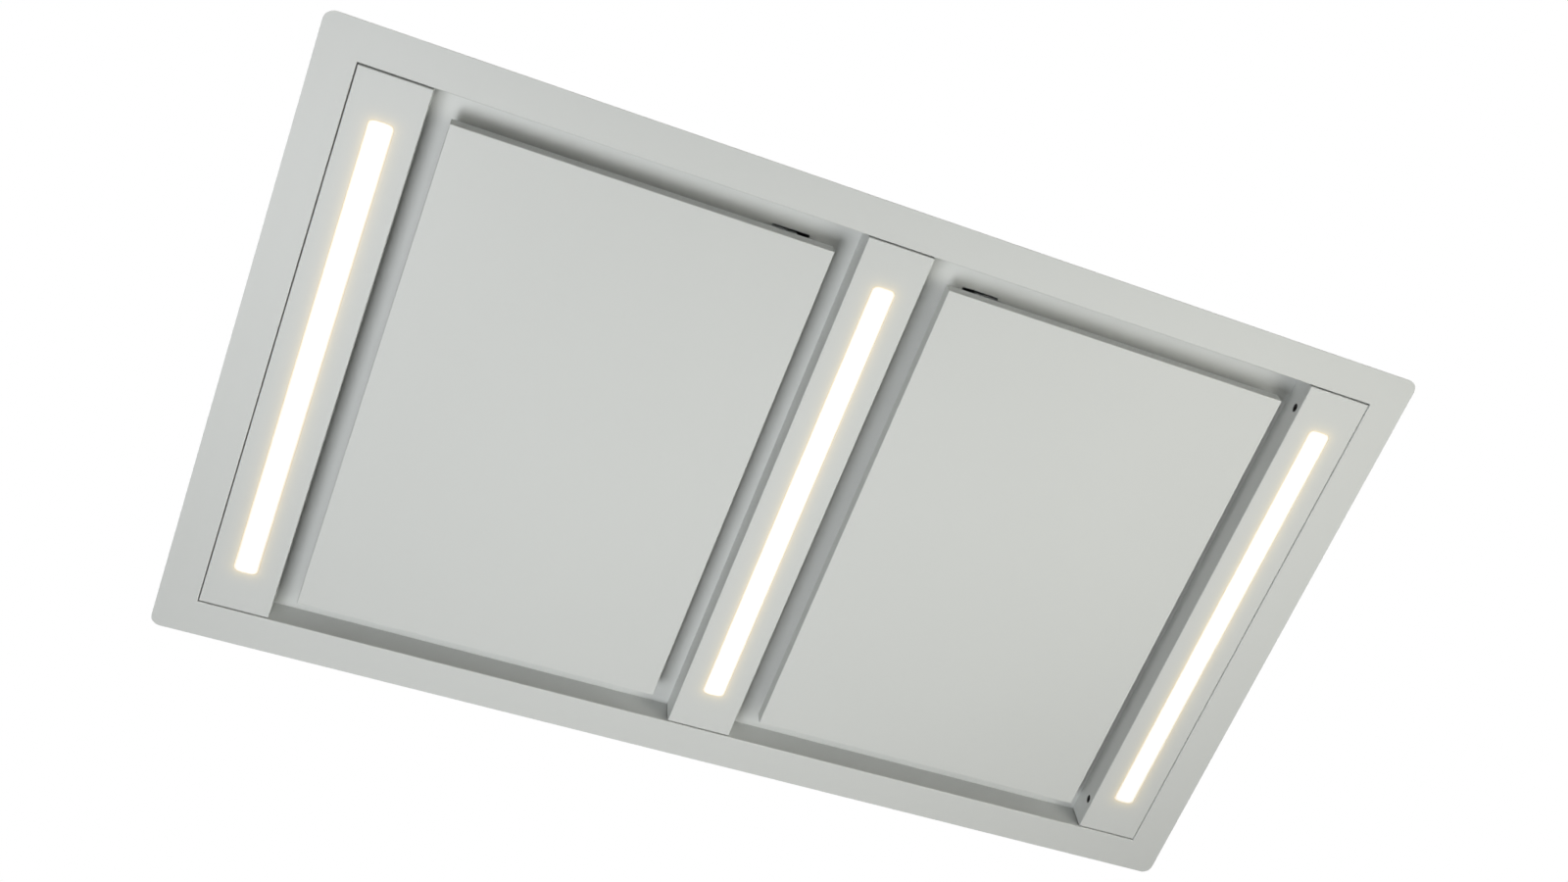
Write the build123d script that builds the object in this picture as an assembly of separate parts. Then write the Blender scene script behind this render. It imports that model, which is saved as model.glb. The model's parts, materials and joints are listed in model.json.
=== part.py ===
"""Flush ceiling range hood with two perimeter-suction panels and three light strips.

All sizes are in millimetres. The origin is the centre of the visible underside,
+X runs along the long side and +Z points up into the ceiling. The right-hand (+X)
bay is modelled, and the left-hand bay is its mirror image.
"""

from build123d import *
import math
import os

# ------------------------------------------------------------------ driving sizes
# Face frame, the painted rim that covers the edge of the ceiling cut-out
FRAME_LENGTH = 1200.0
FRAME_WIDTH = 700.0
FRAME_SHEET = 1.5
FRAME_BORDER = 40.5
FRAME_CORNER_RADIUS = 11.0
FRAME_LIP = 10.0
TROUGH_DEPTH = 34.0

# Base pan, the painted plate at the top of the suction troughs
PAN_SHEET = 1.2
PAN_UPSTAND = 18.0
PAN_CLEARANCE = 0.3

# Casing above the pan
CASING_INSET = 27.0
CASING_HEIGHT = 95.0
CASING_SHEET = 1.0
CASING_TO_RIM = 8.0

# Light covers, three folded channels across the opening
COVER_WIDTH = 73.0
COVER_SHEET = 1.2
COVER_SIDE_GAP = 1.0
COVER_END_GAP = 1.6
COVER_END_FLANGE = 20.0
COVER_HOLE_RADIUS = 5.0
COVER_HOLE_HEIGHT = 11.0
COVER_HOLE_INSET = 32.4
COVER_SCREW_CLEARANCE = 0.4
COVER_SCREW_RECESS = 0.8
COVER_SCREW_HEAD = 4.0
BRACKET_SHEET = 2.0
BRACKET_WIDTH = 20.0
BRACKET_FOOT = 17.0
BRACKET_DROP = 5.0
BRACKET_NUT_RADIUS = 4.5
BRACKET_NUT_LENGTH = 4.0

# Light strips
LENS_WIDTH = 24.4
LENS_END_INSET = 46.9
LENS_CORNER_RADIUS = 5.0
LENS_END_BULGE = 1.6
LENS_CLEARANCE = 0.3
LENS_FLANGE = 3.3
LENS_FLANGE_THICKNESS = 2.0
CHANNEL_WALL = 1.5
CHANNEL_OVERLAP = 8.0
CHANNEL_HEIGHT = 14.8
BOARD_WIDTH = 16.0
BOARD_END_INSET = 12.0
BOARD_THICKNESS = 1.0
CHIP_WIDTH = 2.8
CHIP_LENGTH = 3.5
CHIP_HEIGHT = 0.8
CHIPS_PER_BOARD = 24

# Suction panels, and the widths of the troughs round them
TROUGH_INNER = 27.3
TROUGH_OUTER = 23.3
TROUGH_END = 28.4
PANEL_SHEET = 1.2
PANEL_RIM = 16.5
FOLD_RADIUS = 1.2

# Panel hinges
PIVOT_INSET = 22.0
PIVOT_HEIGHT = 7.0
PIN_RADIUS = 2.0
PIN_CLEARANCE = 0.06
PIN_HEAD_RADIUS = 3.5
PIN_HEAD_THICKNESS = 1.0
ARM_SHEET = 2.5
ARM_WIDTH = 10.0
ARM_KNEE = 20.0
ARM_TO_RIM = 2.8
ARM_FOOT_LENGTH = 34.0
ARM_FOOT_WIDTH = 20.0
SLOT_INSET = 23.0
SLOT_LENGTH = 41.0
SLOT_WIDTH = 6.0
SLOT_END_INSET = 2.0
EAR_SHEET = 2.0
EAR_WIDTH = 12.0
EAR_TOP = 12.0
EAR_BASE_LENGTH = 20.0
EAR_BASE_WIDTH = 16.0
EAR_TO_ARM = 2.0

# Magnetic catches
CATCH_INSET = 30.0
CATCH_END_INSET = 25.0
MAGNET_WIDTH = 16.0
MAGNET_LENGTH = 28.0
MAGNET_GAP = 0.3
STRIKE_WIDTH = 20.0
STRIKE_LENGTH = 30.0
STRIKE_SHEET = 1.2

# Grease filters
FILTER_SIDE_INSET = 39.0
FILTER_END_INSET = 41.0
FILTER_THICKNESS = 9.0
FILTER_CLEARANCE = 1.0
FILTER_RIM = 16.0
FILTER_WALL = 1.0
FILTER_TAB_WIDTH = 20.0
FILTER_TAB_REACH = 8.0
FILTER_TAB_THICKNESS = 2.0
FILTER_TAB_INSET = 120.0
SEAT_GAP = 0.3

# Filter latches
LATCH_TRAVEL = 6.0
LATCH_WIDTH = 28.0
LATCH_LENGTH = 26.0
LATCH_THICKNESS = 5.0
LATCH_REACH = 6.0
LATCH_POCKET_WIDTH = 52.0
LATCH_POCKET_LENGTH = 37.0
LATCH_POST_WIDTH = 16.0
LATCH_POST_LENGTH = 8.0
LATCH_POST_INSET = 12.0
LATCH_PULL_WIDTH = 36.0
LATCH_PULL_LENGTH = 16.0
LATCH_PULL_THICKNESS = 3.0
LATCH_LIP_DROP = 10.0
LATCH_CLEARANCE = 0.5
SPRING_RADIUS = 2.4
SPRING_WIRE = 0.6

# Motor box
BOX_LENGTH = 440.0
BOX_WIDTH = 400.0
BOX_HEIGHT = 195.0
BOX_SHEET = 1.0
BOX_FLANGE = 15.0
BOX_FOLD_RADIUS = 2.0

# Blower
IMPELLER_RADIUS = 84.0
IMPELLER_EYE_RADIUS = 66.5
IMPELLER_LIFT = 24.0
IMPELLER_HEIGHT = 116.0
IMPELLER_SHEET = 1.5
BLADE_COUNT = 36
BLADE_THICKNESS = 1.2
BLADE_CAMBER = 4.0
HUB_CUP_RADIUS = 58.0
HUB_CUP_DEPTH = 39.5
HUB_BOSS_RADIUS = 10.0
HUB_BOSS_LENGTH = 13.0
SCROLL_SHEET = 1.2
SCROLL_GAP = 8.0
SCROLL_STEP = 28.0
SCROLL_HEIGHT = 165.0
SCROLL_OUTLET = 146.0
SCROLL_TONGUE_ANGLE = 50.0
SCROLL_TONGUE_RADIUS = 4.0
SCROLL_TO_BOX = 10.0
OUTLET_FLANGE = 8.0
LUG_RADIUS = 8.0
INLET_MOUTH_RADIUS = 76.0
INLET_THROAT_RADIUS = 64.0
INLET_FLANGE_RADIUS = 98.0
INLET_OVERLAP = 2.0
INLET_SHEET = 1.2
INLET_CLEARANCE = 1.3

# Motor
SHAFT_RADIUS = 4.0
SHAFT_CLEARANCE = 0.05
MOTOR_RADIUS = 50.0
MOTOR_HEIGHT = 45.0
MOTOR_WALL = 3.0
MOTOR_LID = 5.8
MOTOR_FLANGE_RADIUS = 62.0
MOTOR_FLANGE_THICKNESS = 2.5
MOTOR_BOLT_RADIUS = 56.0
BUSH_RADIUS = 5.0
BUSH_THICKNESS = 4.0
BEARING_RADIUS = 11.0
BEARING_WIDTH = 7.0
BEARING_BOSS = 3.0
STATOR_BORE = 28.5
STATOR_HEIGHT = 20.0
AIR_GAP = 0.5
CAPACITOR_RADIUS = 15.0
CAPACITOR_HEIGHT = 55.0

# Duct collar and back-draught damper
COLLAR_RADIUS = 75.0
COLLAR_WALL = 1.5
COLLAR_LENGTH = 50.0
COLLAR_FLANGE_RADIUS = 87.0
COLLAR_FLANGE_THICKNESS = 1.5
COLLAR_RISE = 90.0
COLLAR_SCREW_RADIUS = 81.5
DAMPER_INSET = 14.5
DAMPER_PIN_RADIUS = 2.0
DAMPER_PIN_CLEARANCE = 0.08
FLAP_THICKNESS = 1.0
FLAP_CLEARANCE = 1.2
KNUCKLE_RADIUS = 3.6
KNUCKLE_LENGTH = 28.0
KNUCKLE_GAP = 0.5
FLAP_STOP = 3.0

# Control box on the casing
CONTROL_LENGTH = 150.0
CONTROL_WIDTH = 200.0
CONTROL_HEIGHT = 50.0
CONTROL_WALL = 2.5
CONTROL_TO_BOX = 35.0
CONTROL_LID_THICKNESS = 2.5
CONTROL_BOARD_THICKNESS = 1.6
CONTROL_BOARD_LIFT = 6.0
CONTROL_POST_RADIUS = 4.0
DRIVER_LENGTH = 110.0
DRIVER_WIDTH = 38.0
DRIVER_HEIGHT = 26.0
GLAND_BORE = 4.0
GLAND_THREAD_RADIUS = 8.0
GLAND_HEX_RADIUS = 12.0
GLAND_NUT_LENGTH = 5.0
GLAND_BODY_LENGTH = 8.0
GLAND_CAP_LENGTH = 12.0
GLAND_HEIGHT = 25.0

# Wiring
WIRE_RADIUS = 3.0
WIRE_LIFT = 0.3
WIRE_BEND = 22.0
WIRE_TIGHT_BEND = 6.0
WIRE_HOLE_CLEARANCE = 2.5
LOOM_PITCH = 25.0
LOOM_TO_BOX = 25.0
LOOM_LINE_PITCH = 8.0

# Suspension brackets
HANGER_SHEET = 2.0
HANGER_SIZE = 40.0
HANGER_RISE = 30.0
HANGER_TAB = 34.0
HANGER_HOLE_RADIUS = 4.5
HANGER_EDGE = 4.0
HANGER_SIDE_INSET = 33.0

# Fasteners
SCREW_RADIUS = 1.9
SCREW_HOLE_RADIUS = 2.1
SCREW_HEAD_RADIUS = 3.8
SCREW_HEAD_HEIGHT = 2.4
SCREW_LENGTH = 8.0
MACHINE_SCREW_LENGTH = 12.0
RIVET_HEAD_RADIUS = 3.6
RIVET_HEAD_HEIGHT = 1.3
RIVET_TAIL_RADIUS = 2.6
RIVET_TAIL_HEIGHT = 1.6
MAGNET_RIVET_LENGTH = 6.0

# ------------------------------------------------------------------ derived places
OPENING_X = FRAME_LENGTH / 2 - FRAME_BORDER
OPENING_Y = FRAME_WIDTH / 2 - FRAME_BORDER
PAN_BOTTOM = TROUGH_DEPTH
PAN_TOP = PAN_BOTTOM + PAN_SHEET
CASING_X = FRAME_LENGTH / 2 - CASING_INSET
CASING_Y = FRAME_WIDTH / 2 - CASING_INSET
CASING_BOTTOM = FRAME_SHEET + CASING_TO_RIM
PAN_X = CASING_X - CASING_SHEET - PAN_CLEARANCE
PAN_Y = CASING_Y - CASING_SHEET - PAN_CLEARANCE

COVER_LENGTH = 2 * (OPENING_Y - COVER_END_GAP)
COVER_HOLE_Y = COVER_LENGTH / 2 - COVER_HOLE_INSET
OUTER_COVER_X = OPENING_X - COVER_SIDE_GAP - COVER_WIDTH / 2
COVER_CENTRES = {"left": -OUTER_COVER_X, "center": 0.0, "right": OUTER_COVER_X}
BAY_INNER = COVER_WIDTH / 2
BAY_OUTER = OUTER_COVER_X - COVER_WIDTH / 2

LENS_LENGTH = COVER_LENGTH - 2 * LENS_END_INSET
CHANNEL_LENGTH = LENS_LENGTH + 2 * CHANNEL_OVERLAP
BOARD_LENGTH = CHANNEL_LENGTH - 2 * BOARD_END_INSET

PANEL_INNER = BAY_INNER + TROUGH_INNER
PANEL_OUTER = BAY_OUTER - TROUGH_OUTER
PANEL_END = OPENING_Y - TROUGH_END
PIVOT_X = PANEL_INNER + PIVOT_INSET
ARM_OUT = PANEL_END - PANEL_SHEET - ARM_TO_RIM
ARM_IN = ARM_OUT - ARM_SHEET
EAR_OUT = ARM_IN - EAR_TO_ARM
SLOT_OUT = PANEL_END - SLOT_END_INSET

CATCH_X = PANEL_OUTER - CATCH_INSET
CATCH_Y = PANEL_END - CATCH_END_INSET

FILTER_IN = PANEL_INNER + FILTER_SIDE_INSET
FILTER_OUT = PANEL_OUTER - FILTER_SIDE_INSET
FILTER_END = PANEL_END - FILTER_END_INSET
FILTER_TOP = PAN_BOTTOM + FILTER_THICKNESS
LATCH_BOTTOM = PAN_TOP + SEAT_GAP
LATCH_TOP = LATCH_BOTTOM + LATCH_THICKNESS

BOX_X = BOX_LENGTH / 2
BOX_Y = BOX_WIDTH / 2
BOX_INNER_X = BOX_X - BOX_SHEET
BOX_INNER_Y = BOX_Y - BOX_SHEET
BOX_TOP = CASING_HEIGHT + BOX_HEIGHT
SCROLL_BASE = IMPELLER_RADIUS + SCROLL_GAP
SCROLL_REACH = [SCROLL_BASE + step * SCROLL_STEP for step in (1, 2, 3, 4)]
FAN_X = SCROLL_REACH[2] + SCROLL_SHEET + SCROLL_TO_BOX - BOX_INNER_X
FAN_Y = SCROLL_REACH[1] + SCROLL_SHEET + SCROLL_TO_BOX - BOX_INNER_Y
SCROLL_FLOOR = CASING_HEIGHT + SCROLL_SHEET
SCROLL_TOP = CASING_HEIGHT + SCROLL_HEIGHT
SCROLL_LID = SCROLL_TOP - SCROLL_SHEET
COLLAR_Y = FAN_Y + SCROLL_REACH[3] - SCROLL_OUTLET / 2
COLLAR_HEIGHT = CASING_HEIGHT + COLLAR_RISE
INLET_HOLE_RADIUS = INLET_MOUTH_RADIUS + INLET_SHEET + INLET_CLEARANCE
IMPELLER_BOTTOM = CASING_HEIGHT + IMPELLER_LIFT
IMPELLER_TOP = IMPELLER_BOTTOM + IMPELLER_HEIGHT
HUB_CUP_BOTTOM = IMPELLER_TOP - HUB_CUP_DEPTH
MOTOR_TOP = SCROLL_LID - BUSH_THICKNESS
MOTOR_BOTTOM = MOTOR_TOP - MOTOR_HEIGHT
MOTOR_LID_Z = MOTOR_TOP - MOTOR_LID
UPPER_BEARING = MOTOR_LID_Z - BEARING_WIDTH
ROTOR_BOTTOM = (MOTOR_BOTTOM + BEARING_WIDTH + UPPER_BEARING - STATOR_HEIGHT) / 2
DAMPER_X = BOX_X + COLLAR_FLANGE_THICKNESS + DAMPER_INSET
COLLAR_BORE = COLLAR_RADIUS - COLLAR_WALL

CONTROL_X = -(BOX_X + BOX_FLANGE + CONTROL_TO_BOX + CONTROL_LENGTH / 2)
CONTROL_Y = FAN_Y
CONTROL_FLOOR = CASING_HEIGHT + CONTROL_WALL
CONTROL_TOP = CASING_HEIGHT + CONTROL_HEIGHT
WIRE_Z = CASING_HEIGHT + WIRE_RADIUS + WIRE_LIFT
WIRE_HOLE = WIRE_RADIUS + WIRE_HOLE_CLEARANCE
MOTOR_WIRE_Z = (SCROLL_TOP + BOX_TOP - BOX_SHEET) / 2
MOTOR_WIRE_X = FAN_X - HUB_CUP_RADIUS / 2
LOOM_LINE = BOX_Y + BOX_FLANGE + LOOM_TO_BOX
HANGER_X = CASING_X - HANGER_EDGE - HANGER_TAB
HANGER_LINE = CASING_Y - HANGER_SIDE_INSET
CHANNEL_TOP = COVER_SHEET + CHANNEL_HEIGHT


# ------------------------------------------------------------------ small helpers
def block(x0, x1, y0, y1, z0, z1):
    """An upright box between two corners."""
    return Pos((x0 + x1) / 2, (y0 + y1) / 2, (z0 + z1) / 2) * Box(x1 - x0, y1 - y0, z1 - z0)


def drum(x, y, z0, z1, radius):
    """An upright cylinder."""
    return Pos(x, y, (z0 + z1) / 2) * Cylinder(radius, z1 - z0)


def tube(x, y, z0, z1, outer, inner):
    """An upright tube."""
    return drum(x, y, z0, z1, outer) - drum(x, y, z0, z1, inner)


def along_x(x0, x1, y, z, radius):
    """A cylinder lying along X."""
    return Pos((x0 + x1) / 2, y, z) * Rot(0, 90, 0) * Cylinder(radius, x1 - x0)


def along_y(x, y0, y1, z, radius):
    """A cylinder lying along Y."""
    return Pos(x, (y0 + y1) / 2, z) * Rot(90, 0, 0) * Cylinder(radius, y1 - y0)


def plate_xz(outline, y0, y1):
    """A flat outline drawn in X and Z, made a plate between y0 and y1."""
    return extrude(Plane.XZ.offset(-y1) * outline, amount=y1 - y0)


def plate_yz(outline, x0, x1):
    """A flat outline drawn in Y and Z, made a plate between x0 and x1."""
    return extrude(Plane.YZ.offset(x0) * outline, amount=x1 - x0)


def group(pieces):
    """Separate solids kept together as one named piece."""
    return Compound([solid for piece in pieces for solid in piece.solids()])


def sided(side, piece):
    """The right-hand piece itself, or its mirror image in the left-hand bay."""
    if side == "right":
        return piece
    return group([mirror(piece, about=Plane.YZ)])


def both_ends(piece):
    """A piece near the +Y end and its mirror image near the -Y end."""
    return group([piece, mirror(piece, about=Plane.XZ)])


def fold_edges(shell, z):
    """Round the folded edges that lie at one height."""
    return fillet(shell.edges().filter_by_position(Axis.Z, z, z), FOLD_RADIUS)


def facing(x, y, z, direction):
    """A place whose local +Z looks along the direction."""
    return Plane(origin=(x, y, z), z_dir=direction).location


# ------------------------------------------------------------------ fasteners
def screw(length):
    """A pan-head screw with its head above z = 0 and a cross recess."""
    head = drum(0, 0, 0, SCREW_HEAD_HEIGHT, SCREW_HEAD_RADIUS)
    head = fillet(head.edges().filter_by_position(Axis.Z, SCREW_HEAD_HEIGHT, SCREW_HEAD_HEIGHT), 1.2)
    bar = (SCREW_HEAD_RADIUS, 0.9, SCREW_HEAD_HEIGHT)
    recess = Pos(0, 0, SCREW_HEAD_HEIGHT) * (Box(*bar) + Rot(0, 0, 90) * Box(*bar))
    return head + drum(0, 0, -length, 0, SCREW_RADIUS) - recess


def pressed_rivet(length):
    """A rivet without a tail, whose shank ends inside the piece that it holds."""
    head = drum(0, 0, 0, RIVET_HEAD_HEIGHT, RIVET_HEAD_RADIUS)
    head = fillet(head.edges().filter_by_position(Axis.Z, RIVET_HEAD_HEIGHT, RIVET_HEAD_HEIGHT), 0.9)
    return head + drum(0, 0, -length, 0, SCREW_RADIUS)


def rivet(grip):
    """A rivet through plates of the total thickness grip, its head above z = 0."""
    return pressed_rivet(grip) + drum(0, 0, -grip - RIVET_TAIL_HEIGHT, -grip, RIVET_TAIL_RADIUS)


def screw_hole(x, y, z0, z1):
    """The hole for an upright screw or rivet."""
    return drum(x, y, z0, z1, SCREW_HOLE_RADIUS)


# ------------------------------------------------------------------ fixing points
def frame_rivet_points():
    """Rivets that join the frame's lip to the base pan."""
    x_line = OPENING_X + FRAME_SHEET + FRAME_LIP / 2
    y_line = OPENING_Y + FRAME_SHEET + FRAME_LIP / 2
    long_side = [(share * OPENING_X, y) for share in (-0.75, -0.25, 0.25, 0.75) for y in (-y_line, y_line)]
    short_side = [(x, share * OPENING_Y) for share in (-0.6, 0.6) for x in (-x_line, x_line)]
    return long_side + short_side


def arm_rivet_points():
    """Rivets through the foot of each hinge arm."""
    foot_start = PIVOT_X + ARM_KNEE - ARM_WIDTH / 2
    y = ARM_IN - ARM_FOOT_WIDTH / 2
    right = [(foot_start + share * ARM_FOOT_LENGTH, end * y) for share in (0.22, 0.78) for end in (-1, 1)]
    return right + [(-x, y) for x, y in right]


def magnet_rivet_points():
    """One blind rivet down into each magnet block."""
    return [(side * CATCH_X, end * CATCH_Y) for side in (-1, 1) for end in (-1, 1)]


def bracket_places():
    """Each light cover bracket: the cover's centre, which long wall it faces, and Y."""
    walls = {"left": 1, "center": 1, "right": -1}
    ends = (-COVER_HOLE_Y, COVER_HOLE_Y)
    return [(COVER_CENTRES[name], walls[name], y) for name in walls for y in ends]


def bracket_leg_offset():
    """Distance from a cover's centre line to the outer face of the bracket leg."""
    return COVER_WIDTH / 2 - COVER_SCREW_RECESS - COVER_SCREW_HEAD


def bracket_rivet_points():
    """One rivet through the foot of each light cover bracket."""
    offset_x = bracket_leg_offset() - BRACKET_FOOT * 0.6
    return [(x + wall * offset_x, y) for x, wall, y in bracket_places()]


def loom_points():
    """Where each lighting loom goes down through the casing and the pan."""
    steps = {"left": -1, "center": 0, "right": 1}
    return {name: (COVER_CENTRES[name], steps[name] * LOOM_LINE_PITCH - LOOM_LINE) for name in steps}


def box_screw_points():
    """Screws through the motor box flange."""
    x_line = BOX_X + BOX_FLANGE / 2
    y_line = BOX_Y + BOX_FLANGE / 2
    long_side = [(share * BOX_X, y) for share in (-0.8, 0.0, 0.8) for y in (-y_line, y_line)]
    short_side = [(x, share * BOX_Y) for share in (-0.5, 0.5) for x in (-x_line, x_line)]
    return long_side + short_side


def hanger_screw_points():
    """Two screws through the foot of each suspension bracket."""
    x = HANGER_X - HANGER_SIZE / 2
    return [
        (side_x * x, side_y * HANGER_LINE + share * HANGER_SIZE)
        for side_x in (-1, 1)
        for side_y in (-1, 1)
        for share in (-0.25, 0.25)
    ]


def control_screw_points():
    """Screws near the corners of the control box."""
    inset = CONTROL_WALL / 2 + CONTROL_POST_RADIUS
    x = CONTROL_LENGTH / 2 - inset
    y = CONTROL_WIDTH / 2 - inset
    return [(CONTROL_X + a * x, CONTROL_Y + b * y) for a in (-1, 1) for b in (-1, 1)]


def motor_screw_points():
    """Screws that hang the motor from the blower lid."""
    reach = MOTOR_BOLT_RADIUS * math.sqrt(0.5)
    return [(FAN_X + a * reach, FAN_Y + b * reach) for a in (-1, 1) for b in (-1, 1)]


def on_scroll(quarter, angle, outward=0.0):
    """A point on one of the scroll's quarter arcs, or that far outside it."""
    half = SCROLL_STEP / 2
    centre_x, centre_y = [(half, -half), (-half, -half), (-half, half), (half, half)][quarter]
    reach = SCROLL_BASE + (quarter + 0.5) * SCROLL_STEP + outward
    turn = math.radians(angle)
    return (FAN_X + centre_x + reach * math.cos(turn), FAN_Y + centre_y + reach * math.sin(turn))


def outlet_corner():
    """Where the outlet's inner wall meets the motor box."""
    return (BOX_INNER_X, FAN_Y + SCROLL_REACH[3] - SCROLL_OUTLET)


def lug_points():
    """Fixing lugs round the blower's scroll, the last beside its outlet wall."""
    outward = SCROLL_SHEET + LUG_RADIUS * 0.7
    points = [on_scroll(1, -45, outward), on_scroll(2, -135, outward), on_scroll(3, 135, outward)]
    x1, y1 = outlet_corner()
    x0, y0 = on_scroll(0, SCROLL_TONGUE_ANGLE)
    back = OUTLET_FLANGE + 3 * LUG_RADIUS
    step_x = (x1 - x0) / math.hypot(x1 - x0, y1 - y0)
    step_y = (y1 - y0) / math.hypot(x1 - x0, y1 - y0)
    points.append((x1 - back * step_x + outward * step_y, y1 - back * step_y - outward * step_x))
    return points


def ring_screw_points():
    """Screws round the inlet ring's flange."""
    reach = (INLET_MOUTH_RADIUS + INLET_FLANGE_RADIUS) / 2 + INLET_CLEARANCE
    return [(FAN_X + reach, FAN_Y), (FAN_X - reach, FAN_Y), (FAN_X, FAN_Y + reach), (FAN_X, FAN_Y - reach)]


def collar_screw_places():
    """Y and Z of the screws round the duct collar."""
    reach = COLLAR_SCREW_RADIUS * math.sqrt(0.5)
    return [(COLLAR_Y + a * reach, COLLAR_HEIGHT + b * reach) for a in (-1, 1) for b in (-1, 1)]


def casing_side_screws():
    """Screws through the casing walls into the pan's upstand: place and outward direction."""
    z = PAN_TOP + PAN_UPSTAND * 0.6
    places = []
    for share in (-0.75, -0.25, 0.25, 0.75):
        for side in (-1, 1):
            places.append(((share * CASING_X, side * CASING_Y, z), (0, side, 0)))
    for share in (-0.5, 0.5):
        for side in (-1, 1):
            places.append(((side * CASING_X, share * CASING_Y, z), (side, 0, 0)))
    return places


def casing_side_holes():
    """The holes for those screws."""
    reach = SCREW_LENGTH
    return [
        facing(*place, direction) * Cylinder(SCREW_HOLE_RADIUS, 2 * reach)
        for place, direction in casing_side_screws()
    ]


# ------------------------------------------------------------------ frame and casing
def face_frame():
    """The painted rim, its inner walls and the lip that is riveted to the pan."""
    rim = extrude(RectangleRounded(FRAME_LENGTH, FRAME_WIDTH, FRAME_CORNER_RADIUS), amount=FRAME_SHEET)
    wall_x = OPENING_X + FRAME_SHEET
    wall_y = OPENING_Y + FRAME_SHEET
    walls = block(-wall_x, wall_x, -wall_y, wall_y, 0, TROUGH_DEPTH)
    lip_x = wall_x + FRAME_LIP
    lip_y = wall_y + FRAME_LIP
    lip = block(-lip_x, lip_x, -lip_y, lip_y, TROUGH_DEPTH - FRAME_SHEET, TROUGH_DEPTH)
    opening = block(-OPENING_X, OPENING_X, -OPENING_Y, OPENING_Y, 0, TROUGH_DEPTH)
    frame = rim + walls + lip - opening
    inner = frame.edges().filter_by_position(Axis.Z, 0, 0).filter_by(
        lambda edge: abs(edge.center().X) < wall_x and abs(edge.center().Y) < wall_y
    )
    frame = fillet(inner, FOLD_RADIUS)
    for x, y in frame_rivet_points():
        frame -= screw_hole(x, y, TROUGH_DEPTH - FRAME_SHEET, TROUGH_DEPTH)
    return frame


def slot_cuts():
    """The four slots that the hinge arms come down through."""
    start = PANEL_INNER + SLOT_INSET
    slot = block(start, start + SLOT_LENGTH, SLOT_OUT - SLOT_WIDTH, SLOT_OUT, PAN_BOTTOM, PAN_TOP)
    right = both_ends(slot)
    return group([right, mirror(right, about=Plane.YZ)])


def filter_cuts():
    """The two filter openings."""
    x0 = FILTER_IN - FILTER_CLEARANCE
    x1 = FILTER_OUT + FILTER_CLEARANCE
    y = FILTER_END + FILTER_CLEARANCE
    right = block(x0, x1, -y, y, PAN_BOTTOM, PAN_TOP)
    return group([right, mirror(right, about=Plane.YZ)])


def base_pan():
    """The painted plate above the troughs, with its upstand all round."""
    pan = block(-PAN_X, PAN_X, -PAN_Y, PAN_Y, PAN_BOTTOM, PAN_TOP + PAN_UPSTAND)
    inner_x = PAN_X - PAN_SHEET
    inner_y = PAN_Y - PAN_SHEET
    pan -= block(-inner_x, inner_x, -inner_y, inner_y, PAN_TOP, PAN_TOP + PAN_UPSTAND)
    pan -= filter_cuts()
    pan -= slot_cuts()
    rivets = frame_rivet_points() + arm_rivet_points() + magnet_rivet_points() + bracket_rivet_points()
    for x, y in rivets:
        pan -= screw_hole(x, y, PAN_BOTTOM, PAN_TOP)
    for x, y in loom_points().values():
        pan -= drum(x, y, PAN_BOTTOM, PAN_TOP, WIRE_HOLE)
    for hole in casing_side_holes():
        pan -= hole
    return pan


def plenum_casing():
    """The galvanised box above the pan, open at the bottom and clear of the rim."""
    casing = block(-CASING_X, CASING_X, -CASING_Y, CASING_Y, CASING_BOTTOM, CASING_HEIGHT)
    inner_x = CASING_X - CASING_SHEET
    inner_y = CASING_Y - CASING_SHEET
    plate = CASING_HEIGHT - CASING_SHEET
    casing -= block(-inner_x, inner_x, -inner_y, inner_y, CASING_BOTTOM, plate)
    casing -= drum(FAN_X, FAN_Y, plate, CASING_HEIGHT, INLET_HOLE_RADIUS)
    blower = lug_points() + ring_screw_points()
    screws = box_screw_points() + hanger_screw_points() + control_screw_points() + blower
    for x, y in screws:
        casing -= screw_hole(x, y, plate, CASING_HEIGHT)
    for x, y in loom_points().values():
        casing -= drum(x, y, plate, CASING_HEIGHT, WIRE_HOLE)
    for hole in casing_side_holes():
        casing -= hole
    return casing


def suspension_brackets():
    """Four Z-shaped brackets with holes for the ceiling's threaded rods."""
    tab_z = CASING_HEIGHT + HANGER_RISE
    half = HANGER_SIZE / 2
    foot = (HANGER_X - HANGER_SIZE, HANGER_X, CASING_HEIGHT, CASING_HEIGHT + HANGER_SHEET)
    web = (HANGER_X - HANGER_SHEET, HANGER_X, CASING_HEIGHT, tab_z)
    tab = (HANGER_X - HANGER_SHEET, HANGER_X + HANGER_TAB, tab_z - HANGER_SHEET, tab_z)
    bracket = Part()
    for x0, x1, z0, z1 in (foot, web, tab):
        bracket += block(x0, x1, HANGER_LINE - half, HANGER_LINE + half, z0, z1)
    bracket -= drum(HANGER_X + HANGER_TAB / 2, HANGER_LINE, tab_z - HANGER_SHEET, tab_z, HANGER_HOLE_RADIUS)
    for share in (-0.25, 0.25):
        y = HANGER_LINE + share * HANGER_SIZE
        bracket -= screw_hole(HANGER_X - HANGER_SIZE / 2, y, CASING_HEIGHT, CASING_HEIGHT + HANGER_SHEET)
    right = both_ends(bracket)
    return group([right, mirror(right, about=Plane.YZ)])


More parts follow.
